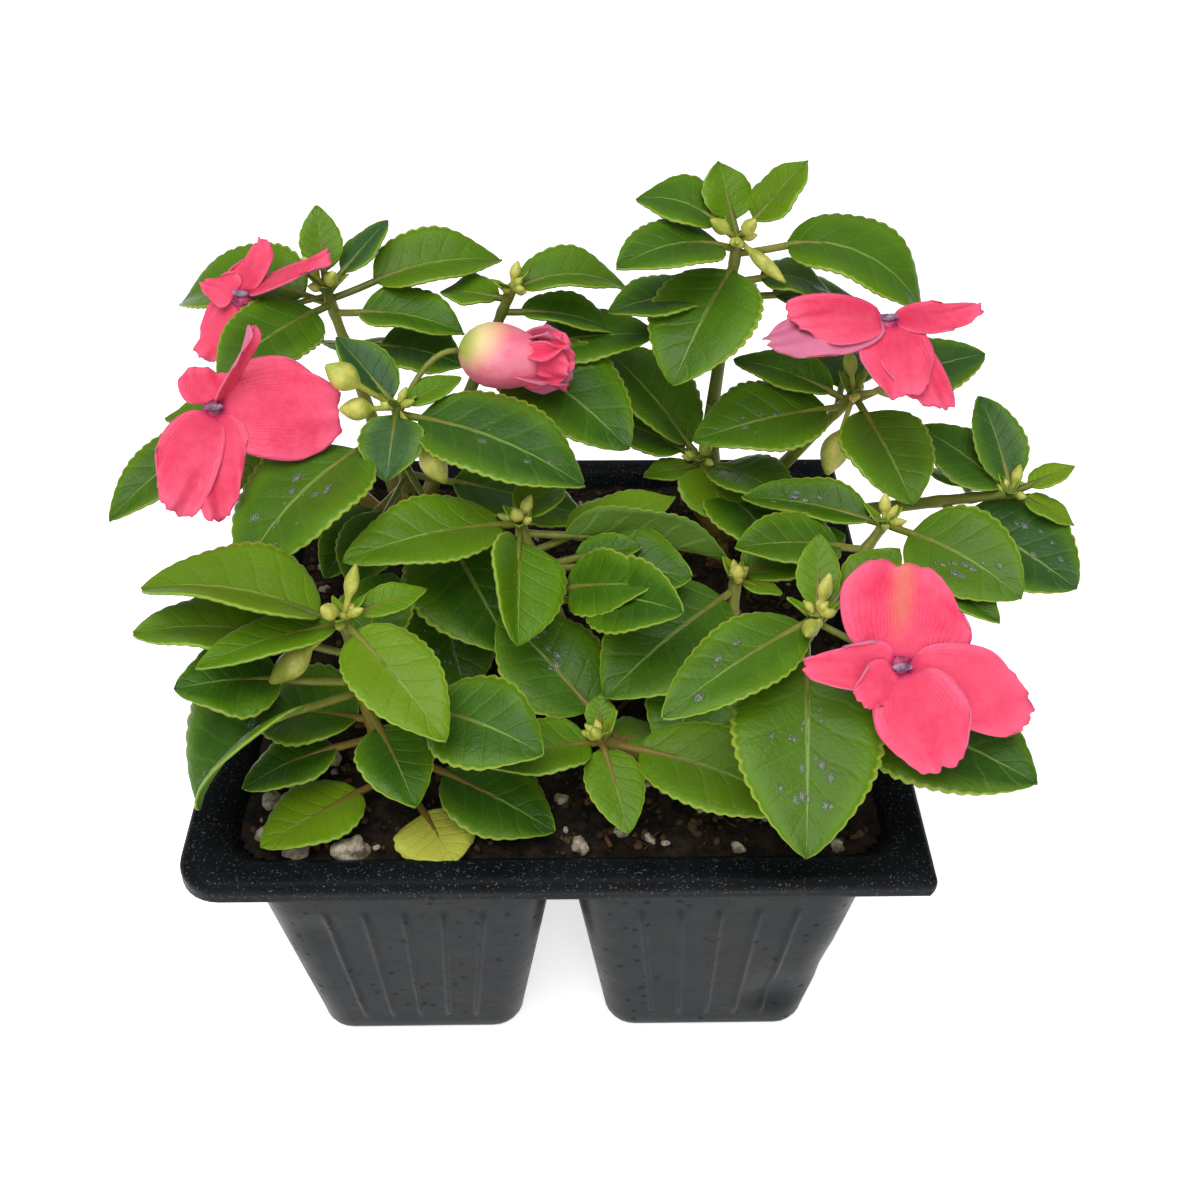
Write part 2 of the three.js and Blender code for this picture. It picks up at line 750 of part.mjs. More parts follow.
// A shoot's direction, from its seat to its crown.
const shootDirection = (shoot) => vector(shoot.crown).sub(vector(shoot.seat)).normalize();

function mainStemSolid(stem) {
  const bottom = SOIL.level - SOIL.holeDepth + GAP;
  const foot = new THREE.Vector3(stem.foot[0], stem.foot[1], bottom);
  const level = new THREE.Vector3(stem.foot[0], stem.foot[1], SOIL.level + 1);
  const fork = vector(stem.fork);
  const parts = [tube([foot, level, fork], [STEM.trunk, STEM.trunk, STEM.fork], 7)];
  for (const name of stem.seats) {
    const shoot = SHOOTS[name];
    const seat = vector(shoot.seat);
    const along = shootDirection(shoot);
    const end = seat.clone().addScaledVector(along, -GAP);
    const bend = seat.clone().addScaledVector(along, -STEM.bend);
    parts.push(tube([fork, bend, end], [STEM.fork * 0.9, STEM.branch, STEM.shoot], 5));
  }
  return joined(parts);
}

// Half the width of a leaf blade, as a share of the whole width, from base (0) to tip (1).
function ovate(s) {
  return 0.5 * Math.sin(Math.PI * s ** 0.78) ** 0.65 * (1 - 0.22 * s ** 5);
}

// A place on a blade: s runs from base to tip, out is how far from the midrib, left positive.
function bladePlace(base, leaf, s, out, lift) {
  const rise = radians(leaf.rise);
  const droop = radians(leaf.droop) || 1e-6;
  const turn = radians(leaf.turn);
  const slope = rise - droop * s;
  const reach = (leaf.length * (Math.sin(rise) - Math.sin(slope))) / droop;
  const climb = (leaf.length * (Math.cos(slope) - Math.cos(rise))) / droop;
  const ahead = new THREE.Vector3(Math.cos(turn), Math.sin(turn), 0);
  const aside = new THREE.Vector3(-Math.sin(turn), Math.cos(turn), 0);
  const normal = ahead.clone().multiplyScalar(-Math.sin(slope));
  normal.z = Math.cos(slope);
  const roll = radians(leaf.roll);
  const side = aside.clone().multiplyScalar(Math.cos(roll)).addScaledVector(normal, Math.sin(roll));
  const up = normal.multiplyScalar(Math.cos(roll)).addScaledVector(aside, -Math.sin(roll));
  return base
    .clone()
    .addScaledVector(ahead, reach)
    .add(new THREE.Vector3(0, 0, climb))
    .addScaledVector(side, out)
    .addScaledVector(up, lift);
}

// A thin sheet given by its middle surface and its thickness at each point: both faces get the
// same triangles. Where the thickness is nothing, the two faces meet in one point.
function sheetSolid(points, faces, thickness) {
  const normals = points.map(() => new THREE.Vector3());
  for (const [a, b, c] of faces) {
    const normal = points[b].clone().sub(points[a]).cross(points[c].clone().sub(points[a]));
    for (const k of [a, b, c]) normals[k].add(normal);
  }
  normals.forEach((normal) => normal.normalize());
  const n = points.length;
  const under = (i) => (thickness(i) > 0 ? n + i : i);
  const upper = points.map((p, i) => p.clone().addScaledVector(normals[i], thickness(i) / 2));
  const lower = points.map((p, i) => p.clone().addScaledVector(normals[i], -thickness(i) / 2));
  const all = [];
  const open = new Map();
  for (const [a, b, c] of faces) {
    all.push([a, b, c], [under(a), under(c), under(b)]);
    for (const [p, q] of [
      [a, b],
      [b, c],
      [c, a],
    ]) {
      const back = q + "_" + p;
      if (open.has(back)) open.delete(back);
      else open.set(p + "_" + q, [p, q]);
    }
  }
  for (const [p, q] of open.values()) all.push([p, under(p), under(q)], [p, under(q), q]);
  const whole = all.filter(([a, b, c]) => a !== b && b !== c && c !== a);
  return solidOf(indexed([...upper, ...lower], whole));
}

// A leaf in one piece: the stalk from its foot inside the stem, and the blade with its toothed edge.
function leafSolid(foot, leaf) {
  const away = direction(leaf.turn, leaf.rise);
  const base = foot.clone().addScaledVector(away, leaf.stalk);
  const inner = foot.clone().addScaledVector(away, STALK.start);
  const teeth = Math.max(2, Math.round(leaf.length / BLADE.teethEvery));
  const fold = radians(leaf.fold);
  const points = [];
  const add = (s, width) => {
    points.push(bladePlace(base, leaf, s, width * Math.cos(fold), Math.abs(width) * Math.sin(fold)));
    return points.length - 1;
  };
  // The stalk is a narrow strip with a thick middle; the blade starts where it ends.
  const stalkRow = (place) => {
    const middle = bladePlace(place, leaf, 0, 0, 0);
    const side = bladePlace(place, leaf, 0, STALK.halfWidth, 0).sub(middle);
    points.push(middle, middle.clone().add(side), middle.clone().sub(side));
    return points.length - 3;
  };
  const root = stalkRow(inner);
  const neck = stalkRow(base);
  const middle = [neck];
  for (let j = 1; j <= teeth; j++) middle.push(add(j / teeth, 0));
  const faces = [];
  for (const side of [1, -1]) {
    const edge = side > 0 ? 1 : 2;
    const strip = [
      [root, neck, neck + edge],
      [root, neck + edge, root + edge],
    ];
    for (const [a, b, c] of strip) faces.push(side > 0 ? [a, b, c] : [a, c, b]);
    let notch = neck + edge;
    for (let j = 0; j < teeth; j++) {
      const peak = (j + BLADE.toothPeak) / teeth;
      const next = (j + 1) / teeth;
      const half = (s) => side * leaf.width * ovate(s);
      const tooth = add(peak, half(peak) * (1 + BLADE.toothDepth));
      const last = j === teeth - 1;
      const after = last ? middle[teeth] : add(next, half(next) * (1 - BLADE.toothDepth));
      const fan = [
        [middle[j], tooth, notch],
        [middle[j], middle[j + 1], tooth],
      ];
      if (!last) fan.push([middle[j + 1], after, tooth]);
      for (const [a, b, c] of fan) faces.push(side > 0 ? [a, b, c] : [a, c, b]);
      notch = after;
    }
  }
  const thickness = (i) => {
    if (i === root || i === neck) return STALK.thickness;
    return i < neck + 3 ? 0 : BLADE.thickness;
  };
  return sheetSolid(points, faces, thickness);
}

const asLeaf = ([turn, rise, stalk, length, width, droop, fold, roll]) => ({
  turn,
  rise,
  stalk,
  length,
  width,
  droop,
  fold,
  roll,
});

function direction(turn, rise) {
  const t = radians(turn);
  const r = radians(rise);
  return new THREE.Vector3(Math.cos(t) * Math.cos(r), Math.sin(t) * Math.cos(r), Math.sin(r));
}

// A small closed bud at the end of its stalk.
function budSolid(crown, [turn, rise, reach, length, thickness]) {
  const away = direction(turn, rise);
  // How far along, and the radius there.
  const shape = [
    [BUD_STALK.start, BUD_STALK.radius],
    [reach, BUD_STALK.radius],
    [reach + length * 0.4, thickness / 2],
    [reach + length, thickness / 7],
  ];
  return tube(
    shape.map(([distance]) => crown.clone().addScaledVector(away, distance)),
    shape.map(([, radius]) => radius),
    4,
  );
}

// The flower stalk of a bloom, from its shoot to just behind the bloom.
function flowerStalk(start, end, along) {
  const bend = end.clone().addScaledVector(along, -FLOWER_STALK.bend);
  const neck = end.clone().addScaledVector(along, -FLOWER_STALK.straight);
  const curve = new THREE.QuadraticBezierCurve3(start, bend, neck);
  const points = [...curve.getPoints(FLOWER_STALK.steps), end];
  return tube(points, points.map(() => FLOWER_STALK.radius), 5);
}

function shootSolid(name) {
  const shoot = SHOOTS[name];
  const along = shootDirection(shoot);
  const crown = vector(shoot.crown);
  const below = (distance) => crown.clone().addScaledVector(along, -distance);
  const parts = [tube([vector(shoot.seat), below(-STEM.tipRise)], [STEM.shoot, STEM.tip], 5)];
  for (const [distance, ...leaf] of shoot.leaves) {
    parts.push(leafSolid(below(distance), asLeaf(leaf)));
  }
  for (const bud of shoot.buds) parts.push(budSolid(crown, bud));
  for (const bloom of Object.values(BLOOMS)) {
    if (bloom.shoot !== name) continue;
    const face = direction(...bloom.face);
    const end = vector(bloom.middle).addScaledVector(face, -CORE.depth - GAP);
    parts.push(flowerStalk(below(bloom.below), end, face));
  }
  if (BIG_BUD.shoot === name) {
    const out = direction(BIG_BUD.turn, BIG_BUD.rise);
    const end = vector(BIG_BUD.base).addScaledVector(out, -GAP);
    parts.push(flowerStalk(below(BIG_BUD.below), end, out));
  }
  return joined(parts);
}

// A low leaf's stalk starts a gap away from the side of its main stem.
function lowLeafSolid({ stem, height, leaf }) {
  const { foot, fork } = MAIN_STEMS[stem];
  const level = SOIL.level + 1;
  const share = (height - level) / (fork[2] - level);
  const radius = THREE.MathUtils.lerp(STEM.trunk, STEM.fork, share);
  const middle = new THREE.Vector3(foot[0], foot[1], level).lerp(vector(fork), share);
  const out = direction(leaf[0], 0);
  return leafSolid(middle.addScaledVector(out, radius + GAP - STALK.start), asLeaf(leaf));
}

// ---------------------------------------------------------------- blooms

// A petal is a fan that is narrow at its base, broad and round at its end, with a shallow notch.
// Its end may lean to one side, and falls back from its furthest point towards both edges.
// Its blade turns about its own length until it faces the way the bloom looks.
function petalSolid(middle, face, [turn, rise, length, width, droop, extra, neck, round, skew]) {
  const ahead = direction(turn, rise);
  const aside = new THREE.Vector3(-Math.sin(radians(turn)), Math.cos(radians(turn)), 0);
  const normal = ahead.clone().cross(aside);
  const roll = Math.atan2(-face.dot(aside), face.dot(normal));
  const start = middle.clone().addScaledVector(ahead, PETAL.start);
  const petal = {
    turn,
    rise,
    length: length - PETAL.start,
    droop,
    roll: THREE.MathUtils.radToDeg(roll) + extra,
  };
  const points = [];
  const faces = [];
  const { across, along, narrow } = PETAL;
  for (let j = 0; j <= along; j++) {
    const v = j / along;
    for (let i = 0; i <= across; i++) {
      const u = (2 * i) / across - 1;
      const spread = narrow + (1 - narrow) * Math.sin((Math.PI / 2) * Math.sqrt(v)) ** neck;
      const off = Math.abs(u - skew) / (1 + Math.abs(skew));
      const dent = Math.max(0, 1 - 1.5 * Math.abs(u - skew));
      const notch = Math.abs(skew) < PETAL.evenly ? PETAL.notch * v ** 4 * dent ** 2 : 0;
      const rounded = 1 - round * off ** PETAL.curve - notch;
      const ruffle = PETAL.ruffle * v * v * Math.sin(u * 4.5 + turn);
      const out = (width / 2) * u * spread;
      points.push(bladePlace(start, petal, v * rounded, out, ruffle));
    }
  }
  const row = across + 1;
  for (let j = 0; j < along; j++) {
    for (let i = 0; i < across; i++) {
      const a = j * row + i;
      faces.push([a, a + row, a + row + 1], [a, a + row + 1, a + 1]);
    }
  }
  return sheetSolid(points, faces, () => PETAL.thickness);
}

function bloomSolid(bloom) {
  const middle = vector(bloom.middle);
  const face = direction(...bloom.face);
  const back = middle.clone().addScaledVector(face, -CORE.depth);
  const front = middle.clone().addScaledVector(face, CORE.front);
  const parts = [tube([back, front], [CORE.radius, CORE.radius * CORE.taper], 6)];
  for (const petal of bloom.petals) parts.push(petalSolid(middle, face, petal));
  // The spur: a thin tail that leaves the back of the bloom beside the stalk and curls down.
  const down = new THREE.Vector3(0, 0, -1);
  const aside = down.clone().addScaledVector(face, -down.dot(face)).normalize();
  const root = back.clone().addScaledVector(aside, SPUR.offset).addScaledVector(face, SPUR.sunk);
  const behind = (fall) =>
    root.clone().addScaledVector(face, -SPUR.reach).addScaledVector(down, fall);
  parts.push(tube([root, behind(1), behind(SPUR.fall)], SPUR.radii, 4));
  return joined(parts);
}

// The bud is an egg of rolled petals, whose ruffled mouth is open at the far end.
function bigBudSolid() {
  const { length, radius, ruffles } = BIG_BUD;
  const out = direction(BIG_BUD.turn, BIG_BUD.rise);
  const side = new THREE.Vector3(0, 0, 1).cross(out).normalize();
  const up = out.clone().cross(side);
  const base = vector(BIG_BUD.base);
  // Each ring: how far along the bud, its radius as a share, and how strong the ruffles are.
  const shape = [
    [0, 0.25, 0],
    [0.07, 0.62, 0],
    [0.22, 0.94, 0],
    [0.42, 1, 0.02],
    [0.62, 0.9, 0.04],
    [0.7, 0.72, 0.08],
    [0.85, 0.62, 0.2],
    [1, 0.6, 0.3],
    [0.9, 0.4, 0.3],
    [0.8, 0.16, 0.1],
  ];
  const around = 2 * ruffles;
  const rings = shape.map(([s, share, ruffle], r) =>
    Array.from({ length: around }, (_, k) => {
      const angle = (2 * Math.PI * k) / around;
      const wave = 1 + ruffle * Math.cos(angle * ruffles);
      const uneven = BIG_BUD.twist * ruffle * Math.cos(angle * 2 + r);
      const ahead = s * length * (1 + uneven - BIG_BUD.longerBelow * Math.sin(angle));
      return base
        .clone()
        .addScaledVector(out, ahead)
        .addScaledVector(side, share * radius * wave * Math.cos(angle))
        .addScaledVector(up, share * radius * wave * Math.sin(angle));
    }),
  );
  return loft(rings);
}

// ---------------------------------------------------------------- the whole

const plant = new THREE.Group();
plant.name = "busy_lizzie_pack";
plant.add(meshOf("cell_pack", packSolid(), BLACK_PLASTIC));
plant.add(meshOf("potting_soil", soilSolid(), PEAT));
for (const [name, stem] of Object.entries(MAIN_STEMS)) {
  plant.add(meshOf("main_stem_" + name, mainStemSolid(stem), OCHRE_STEM));
}
for (const name of Object.keys(SHOOTS)) {
  plant.add(meshOf("shoot_" + name, shootSolid(name), LEAF_GREEN));
}
for (const [name, low] of Object.entries(LOW_LEAVES)) {
  plant.add(meshOf(name, lowLeafSolid(low), name.endsWith("yellow") ? OLD_YELLOW : YOUNG_GREEN));
}
for (const [name, bloom] of Object.entries(BLOOMS)) {
  plant.add(meshOf(name, bloomSolid(bloom), CORAL_PINK));
}
plant.add(meshOf(BIG_BUD.name, bigBudSolid(), CORAL_PINK));

const extent = new THREE.Box3().setFromObject(plant);
const centre = extent.getCenter(new THREE.Vector3());
plant.position.set(-centre.x, -centre.y, -extent.min.z);

export default plant;
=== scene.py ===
# %% [markdown]
# # Busy lizzies in a nursery pack
# Four young busy lizzies grow together in one black pack of two by two cells, as a garden
# centre sells them. This lesson dresses the plain solids of that part: it makes the pack, its
# soil, the stems, leaves, buds and flowers with their fine shapes, and gives each its material.

import math
import random

import bmesh
import bpy
from mathutils import Matrix, Vector, noise


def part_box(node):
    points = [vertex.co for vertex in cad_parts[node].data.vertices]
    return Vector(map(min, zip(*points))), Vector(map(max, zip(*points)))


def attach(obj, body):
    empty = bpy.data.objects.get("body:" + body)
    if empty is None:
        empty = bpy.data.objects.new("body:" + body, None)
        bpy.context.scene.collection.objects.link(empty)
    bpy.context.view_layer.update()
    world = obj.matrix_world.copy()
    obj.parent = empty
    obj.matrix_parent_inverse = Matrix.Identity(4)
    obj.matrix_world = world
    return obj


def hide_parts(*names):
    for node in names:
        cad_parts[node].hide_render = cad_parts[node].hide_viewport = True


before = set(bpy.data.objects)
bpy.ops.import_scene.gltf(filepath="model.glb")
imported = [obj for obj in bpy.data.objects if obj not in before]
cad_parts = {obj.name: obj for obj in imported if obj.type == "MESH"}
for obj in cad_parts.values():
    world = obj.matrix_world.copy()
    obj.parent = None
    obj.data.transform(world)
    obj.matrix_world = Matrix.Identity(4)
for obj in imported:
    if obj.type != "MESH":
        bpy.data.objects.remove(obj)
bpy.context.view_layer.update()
print("nodes:", len(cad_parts))

# %% [markdown]
# ## Where things are
# The growing plan below is in millimetres, measured from the middle of the pack's foot, because
# that is how a gardener would draw it. Blender works in metres, so one matrix takes every
# finished piece from the plan to its place in the frame.

# %% From the plan to the frame
MM = 0.001
foot_low, foot_high = (Vector(corner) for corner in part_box("cell_pack"))
pack_middle = (foot_low + foot_high) / 2
PLAN = Matrix.Translation((pack_middle.x, pack_middle.y, 0)) @ Matrix.Scale(MM, 4)


def finish_piece(name, shape, materials, nodes):
    """Turns a bmesh drawn in millimetres into a smooth object that stands for some solids."""
    bmesh.ops.transform(shape, matrix=PLAN, verts=shape.verts)
    for face in shape.faces:
        face.smooth = True
    mesh = bpy.data.meshes.new(name)
    shape.to_mesh(mesh)
    shape.free()
    for material in materials:
        mesh.materials.append(material)
    piece = bpy.data.objects.new(name, mesh)
    bpy.context.scene.collection.objects.link(piece)
    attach(piece, "root")
    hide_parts(*nodes)
    print(name, len(mesh.polygons), "faces")
    return piece


# %% [markdown]
# ## The camera
# A camera is easiest to aim with three directions: ahead, to the right and down in the frame.
# They come from how far the camera looks down, turns and leans, and make up its rotation matrix.

# %% The camera
LENS = 45
SENSOR = 36
NEAREST = 0.01
CAMERA_PLACE = (2.47, -240.34, 270.20)
LOOK_DOWN, LOOK_ASIDE, LEAN = (math.radians(angle) for angle in (38.897, 1.4868, -0.6173))


def make_camera():
    level = Vector((math.cos(LOOK_ASIDE), -math.sin(LOOK_ASIDE), 0))
    forward = Vector((math.sin(LOOK_ASIDE), math.cos(LOOK_ASIDE), 0))
    ahead = forward * math.cos(LOOK_DOWN) - Vector((0, 0, math.sin(LOOK_DOWN)))
    below = ahead.cross(level)
    right = level * math.cos(LEAN) + below * math.sin(LEAN)
    down = below * math.cos(LEAN) - level * math.sin(LEAN)
    turn = Matrix((right, -down, -ahead)).transposed().to_4x4()
    data = bpy.data.cameras.new("camera")
    data.lens = LENS
    data.sensor_width = SENSOR
    data.clip_start = NEAREST
    camera = bpy.data.objects.new("camera", data)
    camera.matrix_world = Matrix.Translation(PLAN @ Vector(CAMERA_PLACE)) @ turn
    bpy.context.scene.collection.objects.link(camera)
    bpy.context.scene.camera = camera


make_camera()

# %% [markdown]
# ## The growing plan
# Each leafy shoot runs from its seat on a main stem to its crown. A leaf is a row of numbers:
# how far below the crown it grows, its compass turn (0 is to the right, 90 to the back), the
# upward slope of its stalk, the stalk's length, the blade's length and width, how far it droops
# from base to tip, how far its halves fold up, and its roll. A bud is a turn, a slope, how far
# out it stands, its length and its thickness. The same rows shape the solids.

# %% The shoots and their leaves
SHOOTS = {
    "front_left": dict(
        seat=(-33, -40, 74), crown=(-37, -38, 103),
        leaves=[
            (2, 175, 30, 5, 32, 24, 45, 25, 10), (1, -150, 15, 2, 25, 11, 25, 15, 0),
            (0, 30, 5, 3, 13, 7, 10, 20, 15), (1, -50, -5, 3, 27, 16, 20, 15, 10),
            (8, 180, 20, 12, 27, 17, 35, 20, 0), (14, -160, 20, 15, 18, 18, 20, 10, -10),
            (16, -145, 10, 13, 26, 31, 80, 30, 20), (23, 165, 0, 3, 22, 20, 20, 20, -10),
            (27, -155, 5, 8, 18, 13, 30, 10, 0), (20, -65, 0, 6, 18, 14, 25, 10, 0),
            (18, -30, 15, 15, 23, 19, 30, 10, 20), (28, -25, -10, 14, 23, 18, 10, 10, 10),
            (12, 80, 22, 5, 19, 15, 25, 15, 0),
        ],
        buds=[(-120, 50, 3, 5, 3), (60, 60, 4, 6, 2.6), (-150, -30, 8, 9, 5)],
    ),
    "centre": dict(
        seat=(1, -19, 85), crown=(-7, -10, 103),
        leaves=[
            (0, -155, 15, 4, 31, 18, 25, 15, -10), (0, -90, -15, 4, 22, 20, 20, 30, -40),
            (0, 60, 10, 2, 13, 11, 15, 25, 0), (2, 0, -2, 8, 33, 19, 20, 45, -45),
            (9, -15, 12, 8, 22, 20, 15, 12, 20), (9, -8, 22, 8, 13, 8, 10, 20, 20),
            (6, 28, 8, 8, 24, 13, 10, 15, 0), (14, -40, 33, 6, 22, 14, 10, 20, 45),
            (16, -44, 32, 12, 24, 16, 20, 20, 40),
        ],
        buds=[(-100, 60, 2, 4, 2.6), (40, 60, 2, 4, 2.4)],
    ),
    "front_middle": dict(
        seat=(18, -42, 72), crown=(8, -44, 79),
        leaves=[
            (1, -160, 15, 3, 20, 15, 25, 15, 0), (0, -75, -10, 2, 17, 11, 20, 10, 0),
            (3, -25, 10, 5, 33, 18, 30, 12, 15), (0, 90, 30, 2, 7, 6, 5, 15, 0),
            (6, 135, 25, 10, 26, 21, 10, 10, -10), (2, 40, -18, 3, 13, 11, 10, 12, 0),
        ],
        buds=[(-120, 60, 2, 4, 2.4)],
    ),
    "front_right": dict(
        seat=(37, -39, 78), crown=(45, -42, 106),
        leaves=[
            (0, -145, 0, 3, 31, 15, 20, 12, -10), (5, -95, -12, 4, 37, 26, 20, 10, 0),
            (0, 85, 40, 2, 13, 8, 5, 15, 0), (14, -33, 0, 14, 33, 25, 10, 12, 15),
            (3, 35, 25, 9, 13, 10, 10, 12, 10),
        ],
        buds=[(-110, 20, 3, 7, 3), (60, 60, 3, 5, 2.6)],
    ),
    "centre_right": dict(
        seat=(33, -26, 80), crown=(34, -16, 94),
        leaves=[
            (0, 25, 15, 2, 23, 15, 20, 20, 10), (2, -140, -5, 3, 31, 25, 20, 10, -10),
            (0, -35, 10, 2, 8, 5, 10, 15, 0), (10, -120, -15, 5, 24, 20, 10, 10, 0),
        ],
        buds=[(-90, 60, 2, 4, 3)],
    ),
    "right_middle": dict(
        seat=(50, -16, 84), crown=(63, -8, 101),
        leaves=[
            (0, -45, 10, 6, 25, 20, 30, 12, 25), (7, -45, 10, 9, 22, 13, 25, 30, 10),
            (0, 155, 5, 3, 26, 13, 20, 30, -10), (6, -165, 20, 6, 22, 15, 20, 20, -10),
        ],
        buds=[(90, 60, 2, 4, 2.4)],
    ),
    "left_middle": dict(
        seat=(-31, 18, 90), crown=(-30, 4, 120),
        leaves=[
            (0, 140, 35, 2, 16, 12, 5, 30, 0), (0, -95, -20, 2, 14, 13, 15, 15, 0),
            (0, 30, 15, 2, 12, 7, 10, 15, 10), (2, -25, 5, 5, 35, 22, 30, 12, 10),
            (6, -130, 0, 11, 33, 27, 40, 10, 5), (20, -60, -20, 18, 30, 28, 5, 10, 0),
            (27, -125, -10, 10, 18, 13, 25, 15, -10), (30, -72, -25, 24, 24, 20, 10, 10, 0),
            (25, -105, -4, 12, 20, 14, 15, 10, 0), (24, -6, -8, 10, 29, 20, 15, 10, 0),
        ],
        buds=[(-170, 40, 9, 7, 5.5), (-160, 10, 5, 6, 4.5), (-45, -40, 9, 8, 5)],
    ),
    "back_left": dict(
        seat=(-39, 33, 98), crown=(-46, 34, 129),
        leaves=[
            (3, 160, 11, 6, 32, 22, 50, 20, -14), (3, -123, 7, 5, 28, 17, 20, 12, -20),
            (0, 100, 55, 4, 13, 9, 5, 15, 0), (0, 40, 35, 5, 14, 9, 5, 10, 0),
            (2, 20, 15, 10, 27, 18, 30, 25, 15), (5, -15, 10, 6, 22, 15, 30, 25, 10),
            (12, -15, 5, 8, 18, 16, 25, 15, 10), (14, 95, -20, 8, 24, 15, 30, 12, 0),
            (18, 55, -15, 8, 24, 15, 30, 12, 0),
        ],
        buds=[(-60, 50, 3, 5, 3), (150, 50, 3, 5, 3)],
    ),
    "left_side": dict(
        seat=(-47, 27, 88), crown=(-63, 16, 110),
        leaves=[
            (0, -130, 0, 4, 30, 14, 25, 12, -10), (0, 180, 10, 4, 11, 11, 25, 12, 0),
            (0, -85, -20, 4, 12, 9, 20, 12, 0), (6, 110, 0, 6, 20, 14, 25, 12, 0),
        ],
        buds=[],
    ),
    "back_middle": dict(
        seat=(-22, 30, 98), crown=(-9, 34, 129),
        leaves=[
            (0, 15, 20, 2, 24, 15, 60, 25, 10), (5, 5, 0, 4, 22, 12, 35, 25, 10),
            (12, -42, -6, 6, 33, 25, 20, 12, 10), (2, 170, 10, 2, 12, 13, 20, 15, 0),
            (14, 0, 10, 10, 25, 18, 10, 12, 10),
        ],
        buds=[(60, 60, 2, 4, 2.4)],
    ),
    "back_right": dict(
        seat=(33, 32, 104), crown=(36, 34, 140),
        leaves=[
            (0, 160, 35, 5, 18, 16, 55, 15, -10), (0, 110, 50, 4, 12, 11, 5, 10, 0),
            (0, 25, 45, 5, 15, 13, 5, 10, 0), (2, -150, 25, 4, 25, 16, 45, 10, -10),
            (5, -120, -20, 2, 28, 23, 20, 10, 0), (3, -20, 20, 11, 32, 21, 80, 12, 10),
            (9, 0, 10, 6, 16, 16, 50, 10, 0), (11, -165, 5, 6, 20, 17, 20, 12, 0),
            (13, 90, -15, 8, 26, 16, 30, 12, 0), (12, 16, -6, 10, 24, 17, 20, 12, 0),
        ],
        buds=[(-60, 50, 3, 5, 3), (-160, 40, 3, 5, 3), (-40, -25, 3, 10, 3)],
    ),
    "middle_right": dict(
        seat=(31, 27, 83), crown=(30, 24, 95),
        leaves=[
            (0, 150, 15, 4, 22, 16, 20, 20, -10), (0, 136, 38, 4, 30, 21, 20, 25, 0),
            (0, -70, -15, 2, 15, 17, 20, 15, 0), (2, -160, 5, 2, 11, 7, 10, 15, -10),
            (2, -48, 20, 5, 22, 16, 30, 15, 0), (4, -58, 0, 6, 27, 18, 15, 12, 0),
        ],
        buds=[(-60, 60, 2, 4, 2.4)],
    ),
    "right_back": dict(
        seat=(48, 26, 92), crown=(60, 20, 113),
        leaves=[
            (4, -160, 5, 4, 29, 21, 15, 12, -10), (2, 150, 15, 4, 22, 13, 25, 20, -10),
            (0, -70, -15, 5, 23, 20, 15, 15, 0), (4, 15, 20, 11, 21, 17, 20, 12, 10),
            (6, 75, 10, 8, 22, 15, 30, 12, 0),
        ],
        buds=[(-20, 20, 5, 6, 3.4), (100, 50, 4, 5, 3), (-120, -50, 8, 9, 6)],
    ),
    "right_side": dict(
        seat=(66, 18, 86), crown=(92, 8, 97),
        leaves=[
            (0, 135, 20, 2, 22, 16, 15, 12, -10), (0, 105, 45, 2, 20, 12, 25, 25, -10),
            (0, 15, 20, 4, 10, 7, 5, 15, 0), (0, -25, -10, 3, 11, 8, 15, 15, 0),
            (15, -47, -2, 6, 28, 26, 10, 10, 15), (8, 90, -10, 6, 20, 14, 30, 12, 0),
        ],
        buds=[(60, 60, 2, 4, 2.4)],
    ),
}

# %% [markdown]
# The four main stems fork a little above the soil, and each branch ends where a shoot sits. Two
# low leaves grow straight from the front left stem. Each bloom has a middle, the way its face
# looks, the shoot that carries it, and five petals: turn, slope, length, width, droop, extra
# roll, then how slowly it grows broad, how far its end falls back at the sides, and how far the
# end leans to the left.

